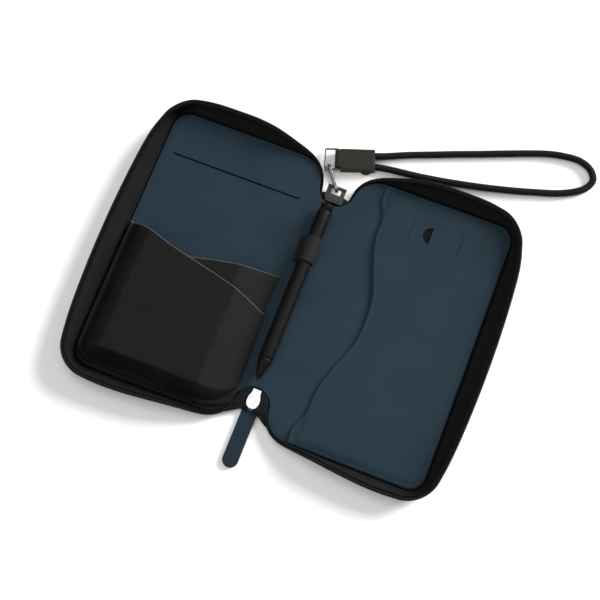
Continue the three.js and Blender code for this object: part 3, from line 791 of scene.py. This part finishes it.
def cover_skin(side, word):
    """Outer fabric of one half, from the middle of the spine under the cover and up over its rim."""
    e = EDGE
    profile = []
    base_s, _ = e.outer(0.0)
    profile.append((base_s - 1.5, np.zeros_like(base_s)))
    profile.append((base_s - 0.6, np.zeros_like(base_s)))
    for t in np.linspace(0.02, 1, 14):
        s, z = e.outer(t)
        profile.append((s, z + 0.25 * (1 - t) ** 8))
    rim_s, rim_z = e.rim()
    half = e.wall / 2
    for angle in np.radians([40, 90, 140]):
        profile.append((rim_s + half + half * np.cos(angle), rim_z + 0.25 * np.sin(angle)))
    for t in np.linspace(0, 1, 12):
        profile.append(e.inner(t))
    profile.append((0.4 * np.ones_like(base_s), 2.2 * np.ones_like(base_s)))
    profile.append((0.35 * np.ones_like(base_s), SKIN_TOP * np.ones_like(base_s)))
    rings = []
    for s, z in profile:
        height = lerp(np.minimum(z, SKIN_TOP), z, e.start)
        rings.append(e.moved(s * e.on_cover, height, side))
    points, faces, _ = skinned(rings, caps=False)
    n = len(e.rise)
    along = lengths_along(e.place)
    across = lengths_along(np.array([ring[n // 2] for ring in rings]))
    uvs = []
    for k in range(len(rings) - 1):
        for i in range(n):
            j = min(i + 1, n - 1)
            uvs.append([(along[i], across[k]), (along[j], across[k]),
                        (along[j], across[k + 1]), (along[i], across[k + 1])])
    points = points.tolist()
    for ring_index, z in ((0, 0.0), (len(rings) - 1, SKIN_TOP)):
        outline = rings[ring_index][:, :2]
        flat, triangles = net(outline, spacing=6.0, columns=side * FOLD_COLUMNS)
        known = {(round(x, 3), round(y, 3)): ring_index * n + i for i, (x, y) in enumerate(outline)}
        index = []
        for x, y in flat:
            key = (round(x, 3), round(y, 3))
            if key not in known:
                known[key] = len(points)
                points.append([x, y, z])
            index.append(known[key])
        for triangle in triangles:
            faces.append(tuple(index[i] for i in triangle))
            uvs.append([tuple(flat[i]) for i in triangle])
    skin = make(f"{word}_cover_skin", points, faces, SHELL, uvs)
    cross_fold(skin, word, side, *OUTER_FOLD)
    stand_for(skin, "shell_fabric", f"{word}_cover_shell", "spine_cover")


def far_stations(minimum_x):
    """The stretch of stations whose x is at least that."""
    found = np.nonzero(EDGE.place[:, 0] >= minimum_x)[0]
    return slice(found[0], found[-1] + 1)


def rim_piping(side, word):
    e = EDGE
    used = far_stations(13.5)
    radius = 0.9 * e.rise + 0.12
    _, rim_z = e.rim()
    rings = []
    for angle in np.linspace(0, 2 * np.pi, 14, endpoint=False):
        s = e.lean - e.wall / 2 + radius * math.cos(angle)
        z = rim_z + 0.2 + radius * (1 + math.sin(angle))
        rings.append(e.moved(s, z, side, used))
    rings = np.swapaxes(np.array(rings), 0, 1)
    piping = wrapped(f"{word}_rim_piping_cord", SHELL, rings)
    attach(piping, f"{word}_cover", "shell_fabric", f"{word}_rim_piping")


TAPE_LOW = 0.95


def zip_tape(side, word):
    """Woven tape on the wall's inner face, from its rim down to a sewn edge."""
    e = EDGE
    used = far_stations(13.0)
    rim_s, rim_z = e.rim()
    face, back = [], []
    thick = 0.25 + 0.3 * e.rise
    face.append((rim_s - 0.35 - thick, rim_z + 1.1 * e.rise))
    back.append((rim_s - 0.35, rim_z + 1.1 * e.rise))
    for t in np.linspace(0.02, TAPE_LOW, 12):
        s, z = e.inner(t)
        back.append((s - 0.22, z + 0.16))
        face.append((s - 0.22 - 0.7 * thick, z + 0.16 + 0.7 * thick))
    rings = np.array([e.moved(s, z, side, used) for s, z in face + back[::-1]])
    tape = wrapped(f"{word}_zip_tape_cloth", TAPE, np.swapaxes(rings, 0, 1))
    attach(tape, f"{word}_cover", "zip_tape", f"{word}_zip_tape")
    s, z = e.inner(TAPE_LOW - 0.05)
    row = e.moved(s - 0.5 - 0.3 * thick, z + 0.45 + 0.6 * thick, side, far_stations(24.0))
    thread = stitches(f"{word}_zip_stitches", row, DARK_THREAD, pitch=2.6, thick=0.2)
    attach(thread, f"{word}_cover", "zip_tape")


def coil(name, path, size):
    """Zip teeth: one nylon thread wound in flat turns along a path. size is each place's scale."""
    fine = spaced(np.column_stack([path, size]), 0.16)
    line, scale = fine[:, :3], fine[:, 3:]
    _, across, ups = frames_along(line)
    far = lengths_along(line)
    turn = (2 * np.pi * far / 1.25)[:, None]
    wound = line + scale * (0.62 * np.cos(turn) * across + 0.36 * np.sin(turn) * ups)
    return wrapped(name, NYLON, swept(wound, circle(0.2, 5)))


def zip_coil(side, word):
    e = EDGE
    used = far_stations(12.6)
    rim_s, rim_z = e.rim()
    height = rim_z + 1.2 * e.rise + 0.3 + 0.6 * e.rise
    path = e.moved(rim_s - 0.85, height, side, used)
    teeth = coil(f"{word}_zip_teeth", path, lerp(0.55, 1.0, e.rise[used]))
    attach(teeth, f"{word}_cover", "zip_coil", f"{word}_zip_coil")
    lead = spline([path[0], (side * 11.0, -79.2, 4.5), (side * 8.0, -79.6, 4.5), (side * 5.4, -78.6, 4.0),
                   (side * 3.6 + 0.4, -77.0, 3.8)])
    lead_teeth = coil(f"{word}_zip_lead", lead, np.full(len(lead), 0.55))
    cross_fold(lead_teeth, word, side, *INNER_FOLD)


def lining_half(side, word):
    """Leather lining from the middle of the spine to the wall. The left one has the slot for a bank card."""
    outline = EDGE.outline(-0.55, side)
    card_slot = joined(arc((-110.6, 62), 0.45, 90, 270, 8), arc((-21.4, 62), 0.45, -90, 90, 8))
    holes = [card_slot] if side < 0 else []
    lining = panel(f"{word}_lining_leather", outline, *LINING, LINING_BLUE, holes, 4.0,
                   side * FOLD_COLUMNS)
    cross_fold(lining, word, side, *INNER_FOLD)
    round_edges(lining, 0.32)
    stand_for(lining, "lining_leather", f"{word}_lining", "spine_lining")
    row = EDGE.moved(-2.4, LINING[1] + 0.02, side)[8:-8]
    thread = stitches(f"{word}_lining_stitches", row, BLUE_THREAD, pitch=2.8, thick=0.17)
    cross_fold(thread, word, side, *INNER_FOLD)


for side, word in SIDES:
    cover_skin(side, word)
    rim_piping(side, word)
    zip_tape(side, word)
    zip_coil(side, word)
    lining_half(side, word)

# ---- Phone pocket ----

FRONT_EDGE = [(-118.4, 7.5), (-102, 4.5), (-84, -1), (-64, -5.5), (-46, -9.5), (-30, -14), (-13.6, -20)]
BACK_EDGE = [(-114.9, -12), (-100, -10), (-80, -5.5), (-64, -1.5), (-46, 2.5), (-30, 5), (-13.9, 7)]
LIP_WIDTH = 2.6
LIP_HEIGHT = 0.9
LIP_GROOVE = 0.25
FLANGE = (4.25, 4.55)


def two_facets(share, break_at, height_there):
    """Share of the height over a bevel of two flats, the outer one steeper."""
    first = share / break_at * height_there
    second = lerp(height_there, 1.0, (share - break_at) / (1 - break_at))
    return np.minimum(first, second)


def pocket_rise(from_left, from_right, from_bottom):
    left = soft_clamp(two_facets(np.clip((from_left - LIP_WIDTH) / (16 - LIP_WIDTH), 0, 2), 0.5, 0.66))
    right = soft_clamp(from_right / 23.6, 0.03)
    low = soft_clamp((from_bottom - LIP_WIDTH) / (10.5 - LIP_WIDTH))
    fall = np.sqrt((1 - left) ** 2 + (1 - right) ** 2 + (1 - low) ** 2)
    return np.maximum(0, 1 - fall)


def pocket_bottom(x):
    return POCKET_BOTTOM + 10 * np.clip((x + 40) / 28.6, 0, 1) ** 3


def pocket_layer(name, node, top_edge, base_z, height, inset, columns=150, rows=120):
    """One moulded layer of the pocket, open along its top edge. The front one has a lip along its border."""
    edge = spaced(spline([(x, y, 0) for x, y in top_edge]), 0.5)
    corner = 12 - inset
    left = POCKET_LEFT + inset
    right = POCKET_RIGHT - inset
    u, v = np.meshgrid(np.linspace(0, 1, columns + 1), np.linspace(0, 1, rows + 1) ** 1.25)
    top_y = np.interp(u, np.linspace(0, 1, len(edge)), edge[:, 1])
    bottom = pocket_bottom(lerp(left, right, u) + inset) + inset
    y = lerp(bottom, top_y, v)
    up = np.clip(y - POCKET_BOTTOM - inset, 0, corner)
    pull = corner - np.sqrt(np.maximum(corner**2 - (corner - up) ** 2, 0))
    x = lerp(left + pull, lerp(right, edge[-1, 0], v), u)
    z = base_z + height * pocket_rise(x - left, right - x, y - bottom)
    if inset == 0:
        from_edge = np.minimum(x - left - pull, y - bottom)
        lip = LIP_HEIGHT * np.exp(-(((from_edge - 1.1) / 0.8) ** 2))
        groove = LIP_GROOVE * np.exp(-(((from_edge - LIP_WIDTH - 0.1) / 0.5) ** 2))
        z = z + lip * smooth((right - x - 1) / 8) - groove * (z > base_z + 0.3)
    top = np.stack([x, y, z + POCKET_WALL], axis=-1).reshape(-1, 3)
    low = np.stack([x, y, z], axis=-1).reshape(-1, 3)
    n = (rows + 1) * (columns + 1)
    index = np.arange(n).reshape(rows + 1, columns + 1)
    quads = np.stack([index[:-1, :-1], index[:-1, 1:], index[1:, 1:], index[1:, :-1]], axis=-1).reshape(-1, 4)
    faces = [tuple(q) for q in quads] + [tuple(q[::-1] + n) for q in quads]
    border = np.concatenate([index[0, :-1], index[:-1, -1], index[-1, :0:-1], index[:0:-1, 0]])
    for a, b in zip(border, np.roll(border, -1)):
        faces.append((a, b, b + n, a + n))
    layer = make(name, np.vstack([top, low]), faces, POCKET)
    round_edges(layer, 0.3, 2, 50)
    attach(layer, "left_cover", "pocket_leather", node)
    rim = top.reshape(rows + 1, columns + 1, 3)[-1] - np.array([0, 0, POCKET_WALL / 2])
    trim = tube(f"{name}_cut_edge", rim + np.array([0, 0.1, 0.0]), POCKET_WALL * 0.36, EDGE_PAINT, 10)
    attach(trim, "left_cover", "pocket_leather")


def pocket_flange():
    """Flat border of the pocket's leather, sewn down from the pocket to the lining's edge."""
    lines = []
    for inset, nearest in ((0.7, -12.5), (6.5, -17)):
        line = EDGE.outline(-inset, -1)
        lines.append(line[(line[:, 1] < FRONT_EDGE[0][1] - 2) & (line[:, 0] < nearest)])
    around, within = lines
    flange = panel("phone_pocket_flange", joined(around, within[::-1]), *FLANGE, POCKET, spacing=2.5)
    attach(flange, "left_cover", "pocket_leather")


pocket_layer("phone_pocket_front_moulding", "phone_pocket_front", FRONT_EDGE, 4.6, POCKET_HEIGHT, 0)
pocket_layer("phone_pocket_back_moulding", "phone_pocket_back", BACK_EDGE, 4.5, POCKET_HEIGHT - 2.1, 3.5)
pocket_flange()

# ---- Right side ----

MOUTH = [(30.5, -90), (30.5, -80), (35, -69), (35.5, -55), (40, -38), (47, -18), (49, 0),
         (47, 18), (40, 38), (35.5, 55), (35, 69), (30.5, 80), (30.5, 90)]
LEAF_STITCHES = 4.6


def passport_panel():
    """Raised leather panel whose wavy edge is the mouth of the passport pocket."""
    mouth = spaced(spline([(x, y, 0) for x, y in MOUTH]), 1.5)[:, :2]
    border = EDGE.outline(-1.4, 1)
    border = border[border[:, 0] > 31.5]
    outline = joined(border, mouth[::-1])
    bow = bezier((68.5, 74), (61.2, 73), (61.2, 63.5), (68.5, 62.5), 20)
    half_moon = joined([(68.5, 62.5), (68.5, 74)], bow[1:-1])
    slits = [[(x - 0.14, 61), (x + 0.14, 61), (x + 0.14, 76), (x - 0.14, 76)] for x in (54.5, 88.5)]

    def swell(flat):
        sewn = edge_distance(flat, border)
        return -0.75 * (1 - smooth(sewn / 5))

    leaf = panel("passport_pocket_leaf", outline, *PASSPORT_PANEL, LINING_BLUE,
                 [half_moon, *slits], 2.2, swell=swell)
    leaf.data.set_sharp_from_angle(angle=math.radians(40))
    attach(leaf, "right_cover", "lining_leather", "passport_pocket_panel")
    row = EDGE.moved(-LEAF_STITCHES, PASSPORT_PANEL[1] - 0.24, 1)
    row = row[row[:, 0] > 34]
    thread = stitches("passport_pocket_stitches", row, BLUE_THREAD, pitch=2.8, thick=0.17)
    attach(thread, "right_cover", "lining_leather")


passport_panel()

# ---- Spine ----

CRESCENT = (1.6, 2.8)
NOTCH_FILL = (3.4, 4.1)


def top_gusset():
    """Black crescent inside the top notch, with a rolled inner edge."""
    outer = arc((0, NOTCH_TOP_Y), NOTCH_R - 0.3, 206, 334, 40)
    inner = arc((0, NOTCH_TOP_Y), 6.6, 326, 214, 32)
    crescent = panel("top_notch_gusset", joined(outer, inner), *CRESCENT, SHELL, spacing=2.0)
    round_edges(crescent, 0.35)
    attach(crescent, "spine", "shell_fabric", "top_gusset")
    rolled = [(x, y, 2.5) for x, y in arc((0, NOTCH_TOP_Y), 6.7, 216, 324, 40)]
    roll = tube("top_notch_roll", rolled, 0.55, SHELL)
    attach(roll, "spine", "shell_fabric")


def bottom_gusset():
    """Zip ends that cross the bottom notch, one from each cover, with the slider's slot between them."""
    reach = math.degrees(math.acos(9.9 / (NOTCH_R - 0.3)))
    slot_x = ZIP_PIVOT[0]
    for side, word in SIDES:
        curve = arc((0, NOTCH_BOTTOM_Y), NOTCH_R - 0.3, 86.4, 90 - side * (90 - reach), 30)
        wall = EDGE.outline(0.3, side)
        wall = wall[(wall[:, 1] < NOTCH_BOTTOM_Y - 4.9) & (np.abs(wall[:, 0]) < 17.2)]
        wall = wall[np.argsort(np.abs(wall[:, 0]))]
        slot = slot_x + side * 1.5
        lower = [(slot, -80.9), (side * 5.2, -81.4), (side * 9.4, -83.9), (side * 13.5, -86.4)]
        lower = spline([(x, y, 0) for x, y in [*lower, wall[-1]]], 8)[::-1, :2]
        outline = joined(curve, wall, lower[1:], [(slot, -75.2), (slot_x, -75.2)])
        bridge = panel(f"{word}_notch_gusset", outline, *NOTCH_FILL, TAPE, spacing=1.6)
        cross_fold(bridge, word, side, *INNER_FOLD)
        stand_for(bridge, "zip_tape", "bottom_gusset")


def pen_loop():
    """Band of webbing round the pen, with both its ends sewn to the spine."""
    round_part = arc((PEN_X, PEN_Z), 5.3, -110, 222, 60)
    middle = spaced(joined([(-9.9, 4.93), (-7, 4.93), (-4.6, 4.93)], round_part,
                           [(-6.3, 5.86), (-8, 5.8), (-9.9, 5.8)]), 0.4)
    for _ in range(4):
        middle[1:-1] = (middle[:-2] + 2 * middle[1:-1] + middle[2:]) / 4
    along = np.gradient(middle, axis=0)
    along /= np.linalg.norm(along, axis=1)[:, None]
    out = np.stack([along[:, 1], -along[:, 0]], axis=1)
    section = np.vstack([middle + 0.4 * out, (middle - 0.4 * out)[::-1]])
    rings = []
    for y in np.linspace(21, 38.5, 36):
        thin = 0.12 * abs((y - 29.75) / 8.75) ** 8
        inward = np.vstack([-out, out[::-1]]) * thin
        ring = section + inward
        rings.append(np.column_stack([ring[:, 0], np.full(len(ring), y), ring[:, 1]]))
    band = wrapped("pen_loop_band", LOOP, rings)
    attach(band, "spine", "pen_loop", "pen_loop")
    rows = [[(x, y, 6.24) for y in np.linspace(22, 37.5, 20)] for x in (-9.1, -7.4)]
    for i, row in enumerate(rows):
        thread = stitches(f"pen_loop_stitches_{i}", row, DARK_THREAD, pitch=2.2, thick=0.17)
        attach(thread, "spine", "pen_loop")


def anchor_tab():
    tab = moulded("anchor_tab", "anchor_tab_leather", TAB, 0.2, 8)
    attach(tab, "spine", "tab_leather", "anchor_tab")
    row = [(x, 69.0, 4.22) for x in np.linspace(-4.2, 5.2, 8)]
    attach(stitches("anchor_tab_stitches", row, DARK_THREAD, pitch=1.9, thick=0.18), "spine", "tab_leather")


top_gusset()
bottom_gusset()
pen_loop()
anchor_tab()

# ---- Zip slider and puller ----


def rounded_loop(corners, radius, z=0.0, step=0.4):
    """A closed line round four or more corners given in order, each turned with a radius."""
    corners = np.asarray(corners, float)
    line = []
    for before, here, after in zip(np.roll(corners, 1, axis=0), corners, np.roll(corners, -1, axis=0)):
        to_before = (before - here) / np.linalg.norm(before - here)
        to_after = (after - here) / np.linalg.norm(after - here)
        start, end = here + radius * to_before, here + radius * to_after
        for t in np.linspace(0, 1, 9):
            line.append((1 - t) ** 2 * start + 2 * t * (1 - t) * here + t * t * end)
    line.append(line[0])
    ring = spaced(line, step)[:-1]
    return np.column_stack([ring, np.full(len(ring), z)])


# Half of the slider's plate, from the middle of its wide end to the middle of its narrow end.
SLIDER_HALF = [(0, -79.1), (1.6, -78.9), (3.1, -77.8), (3.9, -75.9), (4.05, -73.6), (3.75, -71.6),
               (3.05, -69.9), (2.75, -68.6), (2.7, -67), (2.45, -66.5), (2.0, -66.4), (0, -66.4)]


def zip_slider():
    """Two plates with a post between them, an eye below for the puller, and a low domed top."""
    x = ZIP_PIVOT[0]
    half = spline([(a, b, 0) for a, b in SLIDER_HALF], 6)[:, :2]
    outline = joined(half, half[::-1] * (-1, 1))[:-1] + (x, 0)
    middle = np.array([(x, -73.2)])

    def dome(flat):
        away = np.linalg.norm(flat - middle, axis=1)
        return 0.35 * (1 - smooth(away / 6.5))

    plates = []
    for word, low, high, swell in (("body", 4.4, 5.0, dome), ("foot", 2.35, 3.05, None)):
        plate = panel(f"zip_slider_{word}", outline, low, high, SILVER, spacing=0.8, swell=swell)
        round_edges(plate, 0.28, 4, 50)
        plates.append(plate)
    waisted = [(0.01, 2.9), (1.1, 2.9), (0.85, 3.3), (0.85, 4.2), (1.1, 4.5), (0.01, 4.5)]
    post = lathe("zip_slider_post", waisted, SILVER, (x, -77.0, 0), "Z", 32)
    eye = slider_eye()
    for piece in (*plates, post, eye):
        attach(piece, "zip_slider", "silver_metal")
    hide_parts("zip_slider")


def slider_eye():
    """Short bored lug on the slider's underside, which holds the puller's wire."""
    x, y, z = ZIP_PIVOT
    angles = np.radians(np.linspace(0, 360, 40, endpoint=False))
    outer = np.stack([y + 1.2 * np.cos(angles), z + np.maximum(1.2 * np.sin(angles), -1.2)], axis=1)
    outer[:, 1] = np.where(np.sin(angles) > 0.55, np.minimum(outer[:, 1] + 0.25, 2.42), outer[:, 1])
    bore = np.stack([y + 0.72 * np.cos(angles), z + 0.72 * np.sin(angles)], axis=1)
    rings = []
    for at, loop in ((-1.1, outer), (1.1, outer), (1.1, bore), (-1.1, bore)):
        rings.append(np.column_stack([np.full(len(loop), x + at), loop]))
    eye = wrapped("zip_slider_eye", SILVER, rings, closed_path=True)
    return round_edges(eye, 0.12, 2, 50)


def puller():
    x, y, z = ZIP_PIVOT
    loop = rounded_loop([(x - 2.4, y), (x + 2.4, y), (x + 2.4, y - 4.6), (x - 2.4, y - 4.6)], 0.9, z)
    wire = tube("puller_wire_loop", loop, 0.5, SILVER, 14, closed=True)
    attach(wire, "zip_puller", "silver_metal", "puller_wire")
    tab = moulded("puller_tab", "puller_leather", PULLER, 0.26, 8)
    attach(tab, "zip_puller", "puller_leather", "puller_tab")
    inset = 3.9
    row = joined([(x - inset, -84.5)], arc((x, -113.3), inset, 180, 360, 24), [(x + inset, -84.5)])
    row = np.column_stack([row, np.full(len(row), 2.7)])
    thread = stitches("puller_stitches", row, BLUE_THREAD, pitch=2.3, thick=0.17)
    attach(thread, "zip_puller", "puller_leather")


zip_slider()
puller()

# ---- Wrist strap ----


def strap_ring():
    corners = [strap_point(a, b)[:2] for a, b in ((-19.5, -6.1), (-10.6, -6.1), (-10.6, 8.0), (-19.5, 8.0))]
    ring = tube("strap_ring_wire", rounded_loop(corners, 1.1, STRAP_AT[2]), 0.65, STEEL, 18, closed=True)
    attach(ring, "strap_ring", "silver_metal", "strap_ring")


def strap_link():
    """Long link of flat metal, on edge, between the tab and the ring."""
    start = np.array(TAB_BAR[:2])
    way = np.array(strap_point(-16.3, -6.1)[:2]) - start
    length = np.linalg.norm(way)
    way = way / length
    beside = np.array([-way[1], way[0], 0.0])
    play, radius = 1.2, (1.8 + 2.65) / 2
    flat = joined(arc((-play, 0), radius, 90, 270, 20), arc((length + play * 0.6, 0), radius, -90, 90, 20))
    flat = spaced(np.vstack([flat, flat[:1]]), 0.4)[:-1]
    path = np.column_stack([start + flat[:, :1] * way, TAB_BAR[2] + flat[:, 1]])
    outward = np.cross(frames_along(path, closed=True)[0], beside)
    corner = np.linspace(0, 2 * np.pi, 16, endpoint=False)
    wide = np.sign(np.cos(corner)) * np.abs(np.cos(corner)) ** 0.4
    thick = np.sign(np.sin(corner)) * np.abs(np.sin(corner)) ** 0.4
    across = wide[None, :, None] * beside
    rings = path[:, None] + across + (thick * 0.42)[None, :, None] * outward[:, None]
    link = wrapped("strap_link_loop", STEEL, rings, closed_path=True)
    attach(link, "strap_link", "silver_metal", "strap_link")


def strap_sleeve():
    sleeve = moulded("strap_sleeve", "strap_sleeve_leather", SLEEVE, 0.26, 8, STRAP_TURN)
    attach(sleeve, "strap_sleeve", "sleeve_leather", "strap_sleeve")
    line = [(-8.2, -5.7), (11.9, -5.7), (11.9, 6.1), (-8.2, 6.1)]
    row = [strap_point(a, b, 3.0) for a, b in line]
    thread = stitches("strap_sleeve_stitches", row, BROWN_THREAD, pitch=2.2, thick=0.18)
    attach(thread, "strap_sleeve", "sleeve_leather")


def snap_button():
    x, y, _ = strap_point(7.5, -4.3)
    profile = [(0.01, 0.3), (3.2, 0.3), (4.1, 0.36), (4.4, 0.5), (4.35, 0.66), (4.1, 0.7), (0.01, 0.7)]
    snap = lathe("snap_cap", profile, SNAP, (x, y, 0), "Z")
    attach(snap, "strap_sleeve", "snap_metal", "snap_button")


strap_ring()
strap_link()
strap_sleeve()
snap_button()

# ---- Pen ----


def pen():
    barrel = [(0.01, -46.6), (3.2, -46.6), (3.2, -46.8), (4.45, -46.8), (4.6, -46.4), (4.66, -44),
              (PEN_R, -40), (PEN_R, 30), (4.66, 50), (4.6, 57.3), (4.5, 57.85), (4.3, 58), (4.22, 57.9),
              (4.22, 54), (0.01, 54)]
    cone = [(1.12, -47.1), (1.12, -59.5), (1.5, -59.5), (1.68, -59.3), (2.6, -55.6), (3.6, -52),
            (4.25, -49.5), (4.42, -48), (4.38, -47.2), (4.3, -47.1), (1.12, -47.1)]
    button = [(0.01, 56.8), (3.95, 56.8), (3.95, 62.2), (3.85, 62.7), (3.5, 63), (0.01, 63)]
    refill = [(0.01, -61.5), (0.3, -61.35), (0.45, -61.1), (0.8, -59.8), (0.8, -50), (0.01, -50)]
    for name, node, body, profile, finish, slot in (
        ("pen_barrel_tube", "pen_barrel", "pen", barrel, PEN, "pen_body"),
        ("pen_tip_cone", "pen_cone", "pen", cone, PEN, "pen_body"),
        ("pen_push_button", "pen_button", "pen_button", button, PEN, "pen_body"),
        ("pen_refill_tip", "pen_refill", "pen_refill", refill, INK, "silver_metal"),
    ):
        piece = lathe(name, profile, finish, (PEN_X, 0, PEN_Z))
        attach(piece, body, slot, node)


pen()

# ---- Pieces that keep their CAD shape ----

for node, finish in (("left_board", BOARD), ("right_board", BOARD), ("spine_board", BOARD),
                     ("left_card_sleeve", LINER), ("sim_pocket_backing", LINER)):
    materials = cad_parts[node].data.materials
    materials.clear()
    materials.append(finish)

# ---- Stage ----


def stage():
    mesh = bpy.data.meshes.new("floor")
    reach = 20.0
    corners = [(x * reach, y * reach, 0) for x, y in ((-1, -1), (1, -1), (1, 1), (-1, 1))]
    mesh.from_pydata(corners, [], [(0, 1, 2, 3)])
    floor = bpy.data.objects.new("floor", mesh)
    bpy.context.scene.collection.objects.link(floor)
    f = Finish("floor_look", 0.9, specular=0.1)
    f.colour(linear((250, 250, 250)))
    floor.data.materials.append(f.material)


def light(name, place, width, strength):
    """A far soft light that shines from place at the origin. width is how many degrees of sky it fills."""
    data = bpy.data.lights.new(name, "SUN")
    data.angle = math.radians(width)
    data.energy = strength
    obj = bpy.data.objects.new(name, data)
    obj.location = place
    obj.rotation_mode = "QUATERNION"
    obj.rotation_quaternion = (-Vector(place)).to_track_quat("-Z", "Y")
    bpy.context.scene.collection.objects.link(obj)


stage()
light("key", (1.4, 1.7, 0.95), 30, 6.2)
light("top", (-0.1, 0.3, 2.2), 40, 0.8)
light("fill", (-1.2, -1.3, 1.5), 44, 0.95)

world = bpy.data.worlds.new("world")
world.use_nodes = True
background = world.node_tree.nodes["Background"].inputs
background["Color"].default_value = (1, 1, 1, 1)
background["Strength"].default_value = 0.24
bpy.context.scene.world = world
bpy.context.scene.view_settings.view_transform = "Standard"

bpy.context.view_layer.update()
